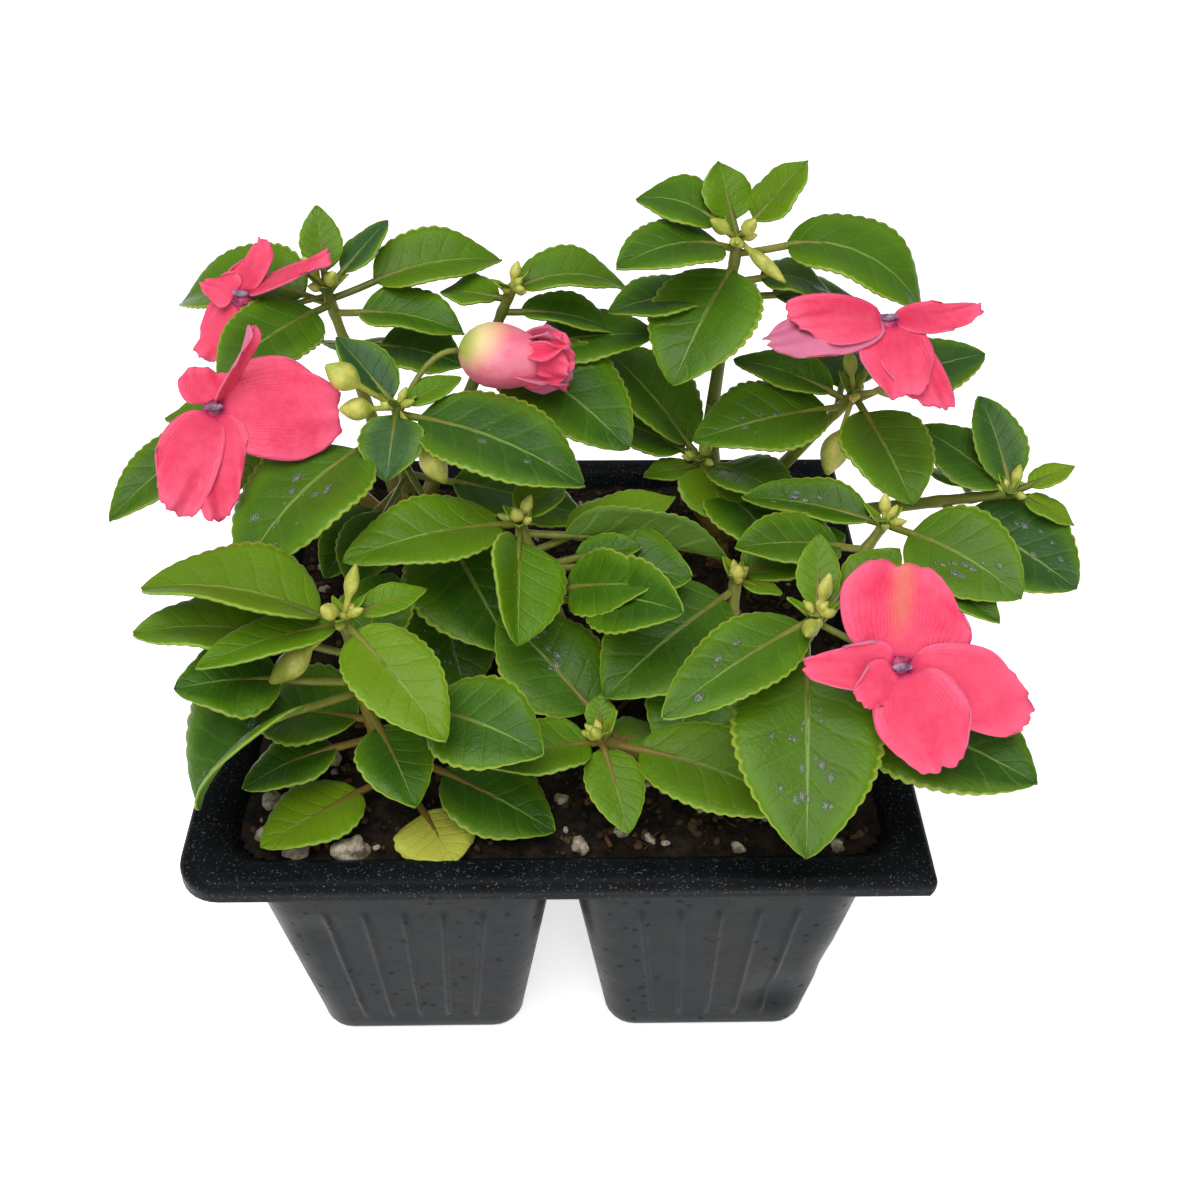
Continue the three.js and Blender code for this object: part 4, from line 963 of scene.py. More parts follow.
def grow_shoot(name, plan):
    shape = new_shape()
    chance = random.Random(name)
    seat, crown = Vector(plan["seat"]), Vector(plan["crown"])
    along = (crown - seat).normalized()
    knuckles = {round(row[0]) for row in plan["leaves"]}
    grow_shoot_stem(shape, seat, along, (crown - seat).length, knuckles)
    for number, (below, *row) in enumerate(plan["leaves"]):
        age = leaf_age_and_sheen(name, number, below, row[LEAF_PLAN.index("length")])
        drops = DROPS.get(name, {}).get(number, 0)
        grow_leaf(shape, crown - along * below, row, chance, age, drops)
    for bud in plan["buds"]:
        grow_bud(shape, crown, bud)
    grow_tuft(shape, crown, along, chance)
    for bloom in BLOOMS.values():
        if bloom["shoot"] == name:
            face = direction(*bloom["face"])
            end = Vector(bloom["middle"]) - face * (CORE["depth"] + GAP)
            grow_flower_stalk(shape, crown - along * bloom["below"], end, face)
    if BIG_BUD["shoot"] == name:
        out = direction(BIG_BUD["turn"], BIG_BUD["rise"])
        end = Vector(BIG_BUD["base"]) - out * GAP
        grow_flower_stalk(shape, crown - along * BIG_BUD["below"], end, out)
    node = "shoot_" + name
    materials = [leaf_material, stem_material, bud_material, water_material]
    finish_piece(node + "_grown", shape, materials, [node])


for name, plan in SHOOTS.items():
    grow_shoot(name, plan)


# %% [markdown]
# ## The main stems and the low leaves
# A main stem stands in a hole in the soil and forks. A drop of skin hides the fork itself.

# %% Grow the main stems
SOIL_LEVEL = 64
HOLE_DEPTH = 8
BRANCH_RADII = (1.8, 1.75, 1.7, 1.65, 1.6, 1.6, 1.6, 1.5, STEM["shoot"])


def grow_main_stem(name, foot, fork, seats):
    shape = new_shape()
    fork = Vector(fork)
    bottom = Vector((*foot, SOIL_LEVEL - HOLE_DEPTH + GAP))
    level = Vector((*foot, SOIL_LEVEL + 1))
    trunk = [bottom, level, level.lerp(fork, 0.5), fork]
    grow_tube(shape, trunk, [STEM["trunk"], STEM["trunk"], 2.3, STEM["fork"]], 12)
    knot = Matrix.Translation(fork)
    bmesh.ops.create_icosphere(shape, subdivisions=3, radius=STEM["fork"] * 1.08, matrix=knot)
    for shoot in (SHOOTS[seat_name] for seat_name in seats):
        seat = Vector(shoot["seat"])
        along = (Vector(shoot["crown"]) - seat).normalized()
        bend, end = seat - along * 5, seat - along * GAP
        points = bent(fork, fork.lerp(bend, 0.9), bend, 6) + [bend.lerp(end, 0.5), end]
        grow_tube(shape, points, BRANCH_RADII, 10)
    node = "main_stem_" + name
    finish_piece(node + "_grown", shape, [stem_material], [node])


for name, (foot, fork, seats) in MAIN_STEMS.items():
    grow_main_stem(name, foot, fork, seats)

# %% Grow the low leaves
LOW_AGES = {"low_leaf_green": 1.0, "low_leaf_yellow": 2.0}


def grow_low_leaf(name, stem, height, row):
    foot, fork, _ = MAIN_STEMS[stem]
    level = SOIL_LEVEL + 1
    share = (height - level) / (fork[2] - level)
    radius = STEM["trunk"] + (STEM["fork"] - STEM["trunk"]) * share
    middle = Vector((*foot, level)).lerp(Vector(fork), share)
    start = middle + direction(row[0], 0) * (radius + GAP - STALK["start"])
    shape = new_shape()
    grow_leaf(shape, start, row, random.Random(name), LOW_AGES[name])
    finish_piece(name + "_grown", shape, [leaf_material, stem_material], [name])


for name, row in LOW_LEAVES.items():
    grow_low_leaf(name, *row)


# %% [markdown]
# ## The blooms
# A bloom has five petals around a small throat, where the stamens make one mauve knob. A petal
# is a fan: narrow at its base, round and slightly notched at its end, with a soft ruffle.

# %% Grow the blooms
PETAL = {
    "start": 1.2,
    "thickness": 0.35,
    "strips": 34,
    "rows": 20,
    "narrow": 0.1,
    "curve": 2.4,
    "notch": 0.08,
    "evenly": 0.3,  # a petal less lopsided than this has the notch
}
CREASED = ("bloom_front_right", 0)  # this petal shows where it was folded in its bud
# The rings of the throat: how far before the bloom's middle, and the radius there.
THROAT = (
    (-CORE["depth"], CORE["radius"] * 0.7),
    (-0.7, CORE["radius"] * 0.9),
    (-0.2, 1.7),
    (0.3, 1.2),
)
SPUR = {"offset": 2, "sunk": 0.8, "reach": 3, "fall": 6, "radius": 0.8, "taper": 0.05}
KNOB = {"before": 0.9, "size": (1.7, 0.65, 0.7, 1), "grain": (4000.0, 3.0, 0.0002, 1.0)}


def grow_petal(shape, middle, face, row, chance, creased=False):
    turn, rise, length, width, droop, extra, neck, roundness, skew = row
    ahead = direction(turn, rise)
    t = math.radians(turn)
    aside = Vector((-math.sin(t), math.cos(t), 0))
    normal = ahead.cross(aside)
    roll = math.degrees(math.atan2(-face.dot(aside), face.dot(normal))) + extra
    start = middle + ahead * PETAL["start"]
    length -= PETAL["start"]
    petal = {"turn": turn, "rise": rise, "length": length, "droop": droop, "roll": roll}
    phase = chance.uniform(0, math.tau)

    def place_of(across, along):
        narrow = PETAL["narrow"]
        spread = narrow + (1 - narrow) * math.sin(math.pi / 2 * math.sqrt(along)) ** neck
        off = abs(across - skew) / (1 + abs(skew))
        dent = max(0, 1 - 1.5 * abs(across - skew))
        notch = PETAL["notch"] * along**4 * dent**2 if abs(skew) < PETAL["evenly"] else 0
        fringe = 0.012 * math.sin(across * 17 + phase) - 0.006 * math.cos(across * 31)
        rounded = 1 - roundness * off ** PETAL["curve"] - notch + fringe * along**6
        ruffle = 0.8 * along**2 * math.sin(across * 4.5 + turn)
        ruffle += 0.4 * along**3 * math.sin(across * 11 + phase)
        out = width / 2 * across * spread * (1 - 0.12 * along**8)
        return blade_place(start, petal, along * rounded, out, ruffle)

    paint = {"tone": chance.random(), "age": float(creased)}
    grid_sheet(shape, PETAL["strips"], PETAL["rows"], place_of, paint, PETAL["thickness"])


def grow_bloom(name, bloom):
    shape = new_shape()
    chance = random.Random(name)
    middle, face = Vector(bloom["middle"]), direction(*bloom["face"])
    for number, row in enumerate(bloom["petals"]):
        grow_petal(shape, middle, face, row, chance, (name, number) == CREASED)
    throat = [middle + face * before for before, _ in THROAT]
    grow_tube(shape, throat, [radius for _, radius in THROAT], 16, material=1)
    down = Vector((0, 0, -1))
    aside = (down - face * down.dot(face)).normalized()
    root = middle - face * CORE["depth"] + aside * SPUR["offset"] + face * SPUR["sunk"]
    knee = root - face * SPUR["reach"]
    tail = bent(root, knee, knee + down * SPUR["fall"], 8)
    grow_tube(shape, tail, [SPUR["radius"] - SPUR["taper"] * k for k in range(len(tail))])
    level = Vector((0, 0, 1)).cross(face).normalized()
    turn = Matrix((level, face.cross(level), face)).transposed().to_4x4()
    place = Matrix.Translation(middle + face * KNOB["before"]) @ turn @ Matrix.Diagonal(KNOB["size"])
    made = bmesh.ops.create_uvsphere(shape, u_segments=16, v_segments=10, radius=1, matrix=place)
    set_material(made["verts"], 2)
    materials = [petal_material, throat_material, stamen_material]
    finish_piece(name + "_grown", shape, materials, [name])


throat_material = mottled_material(
    "throat", (0.5, 0.03, 0.12), (0.16, 0.006, 0.05), 900, 3000, Roughness=0.5
)
stamen_material = mottled_material(
    "stamens", (0.42, 0.3, 0.4), (0.13, 0.05, 0.12), 700, 4000, KNOB["grain"], Roughness=0.55
)
for name, bloom in BLOOMS.items():
    grow_bloom(name, bloom)


# %% [markdown]
# ## The half-open bud
# The large bud is an egg of rolled petals. Its outer petal is cream-green at the base and turns
# pink along its length, and ruffled pink lobes push out of its mouth.

# %% Grow the half-open bud
def make_rolled_material():
    material, recipe, shader = new_material("rolled petals")
    along, across = recipe.attribute("along"), recipe.attribute("across")
    soft = recipe.mottle((0.84, 0.24, 0.32), (0.8, 0.12, 0.22), 120, 600)
    green = recipe.ramp(along + across * -0.25, -0.1, 0.3, 1.0, 0.0)
    cream = recipe.mix(recipe.ramp(along, 0.0, 0.2), (0.34, 0.42, 0.05), (0.72, 0.6, 0.25))
    recipe.feed(
        shader,
        Base_Color=recipe.mix(green, soft["Color"], cream),
        Roughness=0.5,
        Normal=recipe.bump(recipe.noise(300.0), 0.0005, 0.4),
    )
    return material


rolled_material = make_rolled_material()
BUD_SIDES = 28
# The outer petal's free edge winds round the egg as a low step.
BUD_WRAP = {"step": 0.05, "twist": 0.3}
# How far along the egg, and its radius there as a share.
BUD_PROFILE = (
    (0, 0.2), (0.03, 0.44), (0.08, 0.66), (0.15, 0.84), (0.25, 0.97), (0.36, 1.0),
    (0.47, 0.96), (0.57, 0.87), (0.66, 0.75), (0.71, 0.66), (0.7, 0.58), (0.6, 0.5),
)
# The lobes that push out of the mouth: where round the axis, how far they lean out, how far
# along they start, their length and width.
BUD_LOBES = (
    (95, 10, 0.5, 11, 11),
    (170, 10, 0.5, 11, 10),
    (10, 8, 0.5, 12, 11),
    (-50, 8, 0.5, 13, 11),
    (-110, 8, 0.36, 15, 12),
    (50, 14, 0.5, 10, 10),
    (140, 2, 0.6, 10, 8),
)
LOBE_SEAT = 0.45  # how far from the axis a lobe starts, as a share of the bud's radius
LOBE_FORM = (0, 0, 0.6, 0.5, 0)  # the last five numbers of a petal's row


def grow_big_bud():
    shape = new_shape()
    chance = random.Random("bud")
    base = Vector(BIG_BUD["base"])
    length, radius = BIG_BUD["length"], BIG_BUD["radius"]
    out = direction(BIG_BUD["turn"], BIG_BUD["rise"])
    side = Vector((0, 0, 1)).cross(out).normalized()
    up = out.cross(side)
    turns = [math.tau * k / BUD_SIDES for k in range(BUD_SIDES)]
    rings = []
    for s, share in BUD_PROFILE:
        ring = []
        for k, turn in enumerate(turns):
            wrap = 1 + BUD_WRAP["step"] * ((k / BUD_SIDES + BUD_WRAP["twist"] * s) % 1)
            ahead = s * length * (1 - BIG_BUD["longer_below"] * math.sin(turn))
            spoke = side * math.cos(turn) + up * math.sin(turn)
            ring.append(base + out * ahead + spoke * (share * radius * wrap))
        rings.append(ring)
    across, along = (shape.verts.layers.float[name] for name in ("across", "along"))
    for (s, _), ring in zip(BUD_PROFILE, skin_over(shape, rings, material=1)):
        for turn, vert in zip(turns, ring):
            vert[across] = math.sin(turn)
            vert[along] = s
    for turn, lean, start, *size in BUD_LOBES:
        t = math.radians(turn)
        spoke = side * math.cos(t) + up * math.sin(t)
        place = base + out * (start * length) + spoke * radius * LOBE_SEAT
        ahead = (out + spoke * math.tan(math.radians(lean))).normalized()
        heading = math.degrees(math.atan2(ahead.y, ahead.x))
        rise = math.degrees(math.asin(ahead.z))
        grow_petal(shape, place, spoke, (heading, rise, *size, *LOBE_FORM), chance)
    materials = [petal_material, rolled_material]
    finish_piece("bud_half_open_grown", shape, materials, ["bud_half_open"])


grow_big_bud()


# %% [markdown]
# ## The pack
# Such a pack is drawn from one thin sheet of plastic. So it is modelled as one sheet too: each
# cell is a ring pulled down from the web, narrower at every step, with its ribs pressed out;
# the rim is the mouth's ring pulled up and outwards. A Solidify modifier gives it its wall.

# %% The pack's measures
PACK = {
    "height": 66,
    "rim_half": 66.5,
    "rim_corner": 7,
    "lip_drop": 2.5,
    "sheet": 0.8,
    "shift": 0.8,
    "web": 62.6,
    "kink": 49,
    "outer": (50, 60.2),
    "inner": (9.1, 2),
    "mouth": 61.6,
    "flare": 64,
    "corner": (6, 8),
    "drain": 4.5,
}
RIB = {"count": 5, "pitch": 7.4, "depth": 0.6, "half_width": 1.0, "foot": 6, "top": 47}
RIB_FADE = {"foot": 3, "top": 2, "corner": 7.5}
# How many points a ring has on a wall with ribs, on a plain wall and round a corner.
RIBBED_POINTS, PLAIN_POINTS, CORNER_POINTS = 90, 12, 6


def between(pair, share):
    return pair[0] + (pair[1] - pair[0]) * share


def outer_wall(z):
    return between(PACK["outer"], z / PACK["height"])


def inner_wall(z):
    return between(PACK["inner"], min(1, z / PACK["kink"]))


# %% [markdown]
# A ring is walked side by side, with more points on the two outside walls, where the ribs need
# them, than on the two that face a neighbour.

# %% Rings of the cells
def rounded_ring(x_span, y_span, radius, counts):
    """Points round a rectangle with rounded corners, anticlockwise from its right side's foot."""
    (x0, x1), (y0, y1) = x_span, y_span
    corners = [Vector(corner) for corner in ((x1, y0), (x1, y1), (x0, y1), (x0, y0))]
    outwards = [Vector(outward) for outward in ((1, 0), (0, 1), (-1, 0), (0, -1))]
    places = []
    for start, end, outward, count in zip(corners, corners[1:] + corners[:1], outwards, counts):
        ahead = (end - start).normalized()
        first, last = start + ahead * radius, end - ahead * radius
        for k in range(count):
            places.append((first.lerp(last, k / count), outward, (k / count) * 2 - 1))
        centre = last - outward * radius
        for k in range(CORNER_POINTS):
            angle = math.pi / 2 * k / CORNER_POINTS
            spoke = outward * math.cos(angle) + ahead * math.sin(angle)
            places.append((centre + spoke * radius, spoke, None))
    return places


def rib_height(share, z):
    """How far the wall stands out at a share of its half width and a height."""
    above_foot = min(1, max(0, (z - RIB["foot"]) / RIB_FADE["foot"]))
    ends = above_foot * min(1, max(0, (RIB["top"] - z) / RIB_FADE["top"]))
    if share is None or ends == 0:
        return 0
    half = (outer_wall(RIB["top"]) - inner_wall(RIB["top"])) / 2 - RIB_FADE["corner"]
    height = 0
    for k in range(RIB["count"]):
        off = abs(share * half - (k - (RIB["count"] - 1) / 2) * RIB["pitch"])
        height = max(height, 0.5 + 0.5 * math.cos(math.pi * min(1, off / RIB["half_width"])))
    return height * RIB["depth"] * ends


def cell_ring(sx, sy, z, inset=0.0, at=None):
    near, far = inner_wall(z) + inset, outer_wall(z) - inset
    span = {1: (near, far), -1: (-far, -near)}
    sides = (sx > 0, sy > 0, sx < 0, sy < 0)
    counts = [RIBBED_POINTS if outside else PLAIN_POINTS for outside in sides]
    radius = between(PACK["corner"], z / PACK["height"]) - inset / 2
    ring = []
    for place, outward, share in rounded_ring(span[sx], span[sy], radius, counts):
        is_outside = outward.x * sx > 0.99 or outward.y * sy > 0.99
        place = place + outward * (rib_height(share, z) if is_outside else 0)
        ring.append(Vector((place.x + PACK["shift"], place.y, z if at is None else at)))
    return ring


# %% [markdown]
# The front right cell was knocked: a shallow dent with a crease lies low on its face. The wall is
# pressed in around that place. Where the pack was snapped from its sheet, the rim's corners are sharp;
# the one at the front left is round, and there the lip is turned down.

# %% Press, pull and thicken the sheet
CELL_HEIGHTS = (58, 53, 50, 49, 48, 47, 46, 44, 40, 35, 30, 25, 20, 16, 13, 11, 9, 7.5, 6, 5)
FOOT = {"start": 4, "round": 3, "steps": 5}
# Where a dent is, how far it reaches and how deep it is.
DENTS = (((44, -52.5, 14), 9, 1.3), ((52, -50, 22), 7, 0.9), ((-46, -55, 40), 8, 0.5))
# The rim's corners anticlockwise from the right back one, with their radii.
RIM_CORNERS = ((1, 1), (-1, 1), (-1, -1), (1, -1))
TORN = (0.6, 0.6, PACK["rim_corner"], 0.3)
ARC_STEPS, SIDE_STEPS = 8, 32
# How far the rings of the rim's rounded edge lie inside it and below its top.
RIM_EDGE = ((0.6, 0), (0.1, 0.3), (0, 0.8))
LIP_START = 0.9


def press_cell(shape, sx, sy):
    """One cell from the web down to its drain hole. Gives back the ring at the web."""
    rings = [cell_ring(sx, sy, PACK["web"], 0.5)]
    rings += [cell_ring(sx, sy, z) for z in CELL_HEIGHTS]
    for k in range(1, FOOT["steps"] + 1):
        angle = math.pi / 2 * k / FOOT["steps"]
        inset, height = FOOT["round"] * (1 - math.cos(angle)), FOOT["start"] * (1 - math.sin(angle))
        rings.append(cell_ring(sx, sy, FOOT["start"], inset, height))
    middle = (PACK["outer"][0] + PACK["inner"][0]) / 2
    centre = Vector((sx * middle + PACK["shift"], sy * middle, 0))
    foot = rings[-1]
    hole = [centre + (place - centre).normalized() * PACK["drain"] for place in foot]
    for share in (0.5, 0.0):
        rings.append([drain.lerp(place, share) for drain, place in zip(hole, foot)])
    return skin_over(shape, rings, closed=False)[0]


def rim_corner(half, radii, k):
    """The middle of a corner's arc, and its radius."""
    (sx, sy), radius = RIM_CORNERS[k % 4], radii[k % 4]
    return Vector((sx * (half - radius), sy * (half - radius))), radius


def rim_ring(half, z, radii, drops=(0, 0, 0, 0)):
    """A ring all round the pack with its own radius at each corner; drops lower each side."""
    places = []
    for k in range(4):
        centre, radius = rim_corner(half, radii, k)
        for step in range(ARC_STEPS + 1):
            angle = math.pi / 2 * (k + step / ARC_STEPS)
            spoke = Vector((math.cos(angle), math.sin(angle)))
            drop = between((drops[k], drops[(k + 1) % 4]), step / ARC_STEPS)
            places.append(Vector((*(centre + spoke * radius), z - drop)))
        next_centre, next_radius = rim_corner(half, radii, k + 1)
        last = places[-1]
        end = Vector((*(next_centre + spoke * next_radius), last.z))
        places += [last.lerp(end, step / SIDE_STEPS) for step in range(1, SIDE_STEPS)]
    return places


def make_pack():
    shape = bmesh.new()
    webs = [press_cell(shape, sx, sy) for sx, sy in ((-1, -1), (1, -1), (1, 1), (-1, 1))]
    shift = Vector((PACK["shift"], 0, 0))
    top, rim = PACK["height"], PACK["rim_half"]
    mouth_corners = (PACK["corner"][1],) * 4
    mouth = (
        (outer_wall(PACK["web"]), PACK["web"]),
        (outer_wall(PACK["flare"]), PACK["flare"]),
        (PACK["mouth"], top - 0.5),
        (PACK["mouth"] + 0.5, top),
    )
    rings = [[place + shift for place in rim_ring(half, z, mouth_corners)] for half, z in mouth]
    rings += [rim_ring(rim - inset, top - below, TORN) for inset, below in RIM_EDGE]
    lip = (0, 0, PACK["lip_drop"], PACK["lip_drop"])
    rings.append(rim_ring(rim, top - LIP_START, TORN, lip))
    webs.append(skin_over(shape, rings, closed=False)[0])
    edges = [edge for ring in webs for edge in ring_edges(shape, ring)]
    bmesh.ops.triangle_fill(shape, use_beauty=True, edges=edges)
    for middle, reach, depth in DENTS:
        for vert in shape.verts:
            off = (vert.co - Vector(middle)).length / reach
            if off < 1:
                vert.co.y += depth * (1 - off * off) ** 2
    bmesh.ops.recalc_face_normals(shape, faces=shape.faces)
    lowest = min(shape.faces, key=lambda face: face.calc_center_median().z)
    if lowest.normal.z > 0:
        bmesh.ops.reverse_faces(shape, faces=shape.faces)
    pack = finish_piece("cell_pack_pressed", shape, [pack_material], ["cell_pack"])
    wall = pack.modifiers.new("wall", "SOLIDIFY")
    wall.thickness = PACK["sheet"] * MM
    wall.offset = -1


# %% [markdown]
# ## Pack plastic
# The plastic is black with a blue cast and a satin gloss. Water has dried on it in small round
# spots, and fine pale dust lies on the rim and, thinner, on the walls.

# %% The pack's material
def make_pack_material():
    material, recipe, shader = new_material("pack plastic")
    skin = recipe.mottle((0.009, 0.0125, 0.0155), (0.0034, 0.0047, 0.006), 60, 500)
    drops = recipe.make("TexVoronoi", "Distance", dict(Scale=300, Vector=recipe.place()))
    spots = recipe.ramp(drops, 0.14, 0.24, 1.0, 0.0) * recipe.ramp(recipe.noise(70.0), 0.42, 0.52)
    on_rim = recipe.ramp(recipe.height(), 0.062, 0.0635)
    dust = recipe.ramp(on_rim, 0.0, 1.0, 0.12, 1.0)
    specks = recipe.ramp(recipe.noise(2300.0, 1.0), 0.66, 0.7) * dust
    colour = recipe.paint(
        skin["Color"],
        (spots * 0.6, (0.004, 0.005, 0.007)),
        # The rim's top is painted darker than the walls: painted shade.
        (on_rim * 0.5, (0.005, 0.006, 0.007)),
        (specks * 0.5, (0.16, 0.15, 0.14)),
    )
    recipe.feed(
        shader,
        Base_Color=colour,
        # Less specular on the rim, together with the painted shade, keeps its top dark.
        Specular_IOR_Level=recipe.ramp(on_rim, 0.0, 1.0, 0.12, 0.04),
        Roughness=recipe.ramp(skin["Patches"], 0.3, 0.7, 0.3, 0.45) + spots * 0.2,
        Normal=recipe.bump(recipe.noise(120.0), 0.0008, 0.25),
    )
    return material


pack_material = make_pack_material()
make_pack()


# %% [markdown]
# ## The soil
# The soil is black peat with crumbs, bark chips, white perlite and fine roots. A grid gets a
# rough height from noise; hundreds of low-poly crumbs lie on it, sunk a little, so that every
# one is held.

# %% Peat, stones and bark materials
def grain_material(name, light, dark, scale):
    grain = (scale * 5.0, 5.0, 0.0006, 1.0)
    surface = {"Roughness": 0.9, "Specular_IOR_Level": 0.2}
    return mottled_material(name, light, dark, scale, scale * 6, grain, **surface)


soil_materials = [
    grain_material("peat", (0.03, 0.019, 0.011), (0.004, 0.003, 0.002), 400),
    grain_material("crumb", (0.1, 0.06, 0.028), (0.009, 0.006, 0.003), 160),
    grain_material("perlite", (0.62, 0.55, 0.42), (0.24, 0.19, 0.11), 500),
    grain_material("bark", (0.16, 0.075, 0.035), (0.03, 0.014, 0.007), 350),
]
CRUMB, STONE, BARK = 1, 2, 3  # their places in the list

# %% [markdown]
# Crumbs, stones, chips and roots are strewn by chance, always from the same seed, and only
# where they keep clear of the wall. The larger white stones have places of their own.

# %% Spread the soil
SOIL_HALF = 58.9
SOIL_STEPS = 110
SOIL_SEED = 5
CRUMBS = 1800
SMALL_STONES = 150
CHIPS = 130
ROOTS = 90
ROOT = {"points": 6, "step": 1.1, "radius": 0.16}
# Each larger stone's place and radius.
STONES = (
    (-51, -37, 2.3), (-48, -57, 2.4), (-38, -57, 3.2), (-54, -45, 2.2), (-54, -53, 2.0),
    (-44, -34, 2.4), (3, -56, 1.7), (4, -57, 1.5), (11, -53, 1.5), (16, -55, 1.2),
    (38, -49, 1.5), (0, -45, 1.6), (32, -57, 1.5), (50, -57, 1.5),
)


def soil_height(x, y):
    waves = (
        math.sin(x * 0.21 + 1.3) * math.cos(y * 0.26 - 0.4)
        + 0.8 * math.sin(x * 0.53 - y * 0.41)
        + 0.6 * math.cos(x * 0.83 + y * 0.97 + 2)
    )
    return SOIL_LEVEL + 0.33 * waves


def over_soil(x, y, lift):
    return Vector((x + PACK["shift"], y, soil_height(x, y) + lift))


def inside_mouth(x, y, half):
    corner = PACK["corner"][1]
    over = Vector((max(0, abs(x) - half + corner), max(0, abs(y) - half + corner)))
    return over.length < corner


def strewn(chance, count, margin):
    """Random places, without those that are too near to the wall."""
    for _ in range(count):
        x, y = (chance.uniform(-SOIL_HALF, SOIL_HALF) for _ in "xy")
        if inside_mouth(x, y, SOIL_HALF - margin):
            yield x, y


def lay_peat(shape):
    grid = bmesh.ops.create_grid(shape, x_segments=SOIL_STEPS, y_segments=SOIL_STEPS, size=SOIL_HALF)
    outside = []
    for vert in grid["verts"]:
        x, y = vert.co.x, vert.co.y
        rough = noise.fractal(Vector((x, y, 0)) * 0.35, 0.7, 2.2, 4) * 0.55
        edge = max(abs(x), abs(y)) / SOIL_HALF
        height = soil_height(x, y) + rough - 0.8 * max(0, edge - 0.93) / 0.07
        vert.co = Vector((x + PACK["shift"], y, max(PACK["web"] + 0.6, height)))
        if not inside_mouth(x, y, SOIL_HALF + 0.4):
            outside.append(vert)
    bmesh.ops.delete(shape, geom=outside, context="VERTS")


def strew_lumps(shape, chance):
    """Crumbs and stones: place, radius, material and how finely the ball is divided."""
    lumps = []
    for x, y in strewn(chance, CRUMBS, 1.5):
        lumps.append((x, y, chance.uniform(0.35, 1.0) ** 1.6 * 1.2, CRUMB, 1))
    lumps += [(*stone, STONE, 3) for stone in STONES]
    for x, y in strewn(chance, SMALL_STONES, 2.5):
        lumps.append((x, y, chance.uniform(0.4, 1.2), STONE, 2))
    for x, y, size, material, detail in lumps:
        turn = Matrix.Rotation(chance.uniform(0, 6), 4, Vector((chance.random(), chance.random(), 1)))
        flat = Matrix.Diagonal((1, chance.uniform(0.65, 0.95), chance.uniform(0.55, 0.85), 1))
        middle = over_soil(x, y, size * 0.25)
        place = Matrix.Translation(middle) @ turn @ flat
        made = bmesh.ops.create_icosphere(shape, subdivisions=detail, radius=size, matrix=place)
        for vert in made["verts"]:
            vert.co += (vert.co - middle) * noise.noise(vert.co * (1.4 / size)) * 0.5
        set_material(made["verts"], material)


def strew_chips(shape, chance):
    for x, y in strewn(chance, CHIPS, 3):
        size = chance.uniform(1.5, 4.5)
        tilt = Matrix.Rotation(chance.uniform(-0.35, 0.35), 4, "X")
        turn = Matrix.Rotation(chance.uniform(0, 6.3), 4, "Z")
        flat = Matrix.Diagonal((size, chance.uniform(0.7, 1.6), chance.uniform(0.4, 0.8), 1))
        place = Matrix.Translation(over_soil(x, y, 0.45)) @ tilt @ turn @ flat
        made = bmesh.ops.create_cube(shape, size=1, matrix=place)
        edges = list({edge for vert in made["verts"] for edge in vert.link_edges})
        cut = bmesh.ops.bevel(
            shape, geom=edges, offset=0.15, segments=1, affect="EDGES", profile=0.5, material=-1
        )
        for face in set(cut["faces"]) | {face for vert in cut["verts"] for face in vert.link_faces}:
            face.material_index = BARK


def strew_roots(shape, chance):
    for x, y in strewn(chance, ROOTS, 5):
        heading = chance.uniform(0, math.tau)
        points = []
        for k in range(ROOT["points"]):
            points.append(over_soil(x, y, 0.5 + 0.5 * math.sin(k)))
            heading += chance.uniform(-0.7, 0.7)
            x += math.cos(heading) * ROOT["step"]
            y += math.sin(heading) * ROOT["step"]
        if inside_mouth(x, y, SOIL_HALF - 1):
            grow_tube(shape, points, [ROOT["radius"]] * len(points), 4, material=CRUMB)


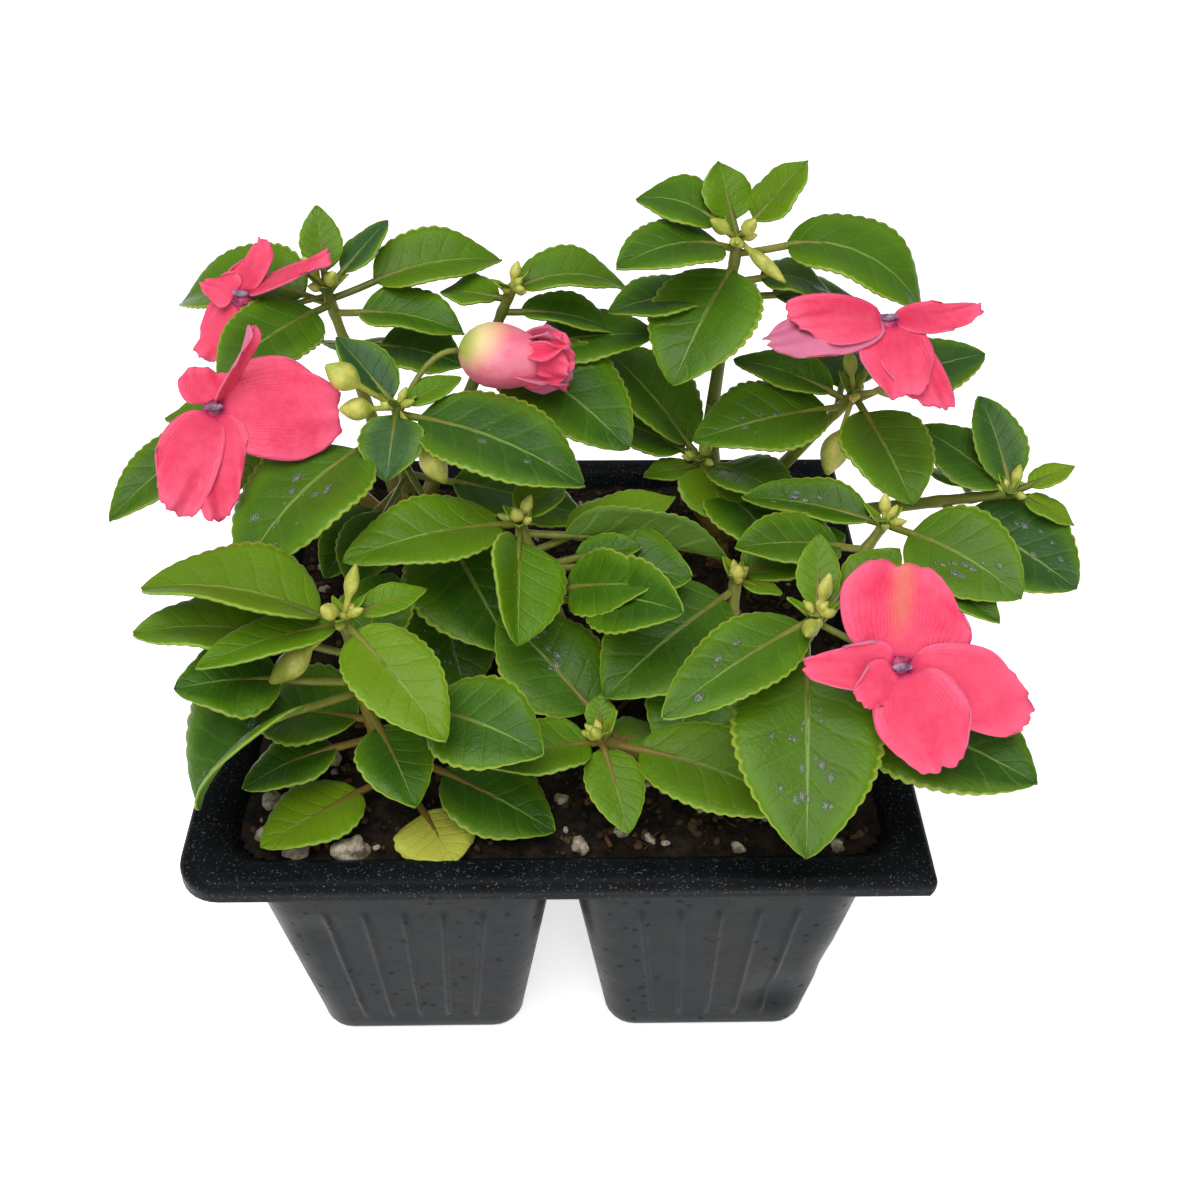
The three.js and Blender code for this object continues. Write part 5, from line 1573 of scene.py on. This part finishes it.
def spread_soil():
    shape = bmesh.new()
    chance = random.Random(SOIL_SEED)
    lay_peat(shape)
    strew_lumps(shape, chance)
    strew_chips(shape, chance)
    strew_roots(shape, chance)
    finish_piece("potting_soil_spread", shape, soil_materials, ["potting_soil"])


spread_soil()

# %% [markdown]
# ## Floor and light
# A white floor and soft light from above keep the colours true. One large lamp hangs above the
# pack, a second weaker one stands before it, and the world itself is dim, so that the shade
# under the leaves stays deep. The white floor is what lights the pack's upright walls.

# %% The studio
# Each lamp's place, size and power.
LAMPS = {"key": ((-0.15, -0.3, 1.0), 0.9, 10), "front": ((0.1, -1.0, 0.5), 0.7, 2.5)}
LAMP_AIM = (0, 0, 0.08)
SKY = 0.28
FLOOR_SIZE = 3


def make_floor():
    shape = bmesh.new()
    bmesh.ops.create_grid(shape, x_segments=1, y_segments=1, size=FLOOR_SIZE)
    mesh = bpy.data.meshes.new("floor")
    shape.to_mesh(mesh)
    shape.free()
    material, recipe, shader = new_material("floor")
    away = recipe.make("VectorMath", "Value", dict(Vector=recipe.place()), operation="LENGTH")
    recipe.feed(
        shader,
        Base_Color=(0.95, 0.95, 0.95),
        Roughness=0.9,
        Emission_Color=(1, 1, 1),
        Emission_Strength=recipe.ramp(away, 0.3, 1.0, 0.68, 1.0),
    )
    mesh.materials.append(material)
    floor = bpy.data.objects.new("floor", mesh)
    bpy.context.scene.collection.objects.link(floor)


def make_lamp(name, place, size, power):
    data = bpy.data.lights.new(name, "AREA")
    data.size = size
    data.energy = power
    lamp = bpy.data.objects.new(name, data)
    lamp.location = place
    lamp.rotation_euler = (Vector(LAMP_AIM) - Vector(place)).to_track_quat("-Z", "Y").to_euler()
    bpy.context.scene.collection.objects.link(lamp)


def make_sky(brightness):
    world = bpy.data.worlds.new("studio")
    world.use_nodes = True
    background = world.node_tree.nodes["Background"]
    background.inputs["Color"].default_value = (1, 1, 1, 1)
    background.inputs["Strength"].default_value = brightness
    bpy.context.scene.world = world


bpy.context.scene.view_settings.view_transform = "Standard"
make_floor()
for name, lamp in LAMPS.items():
    make_lamp(name, *lamp)
make_sky(SKY)
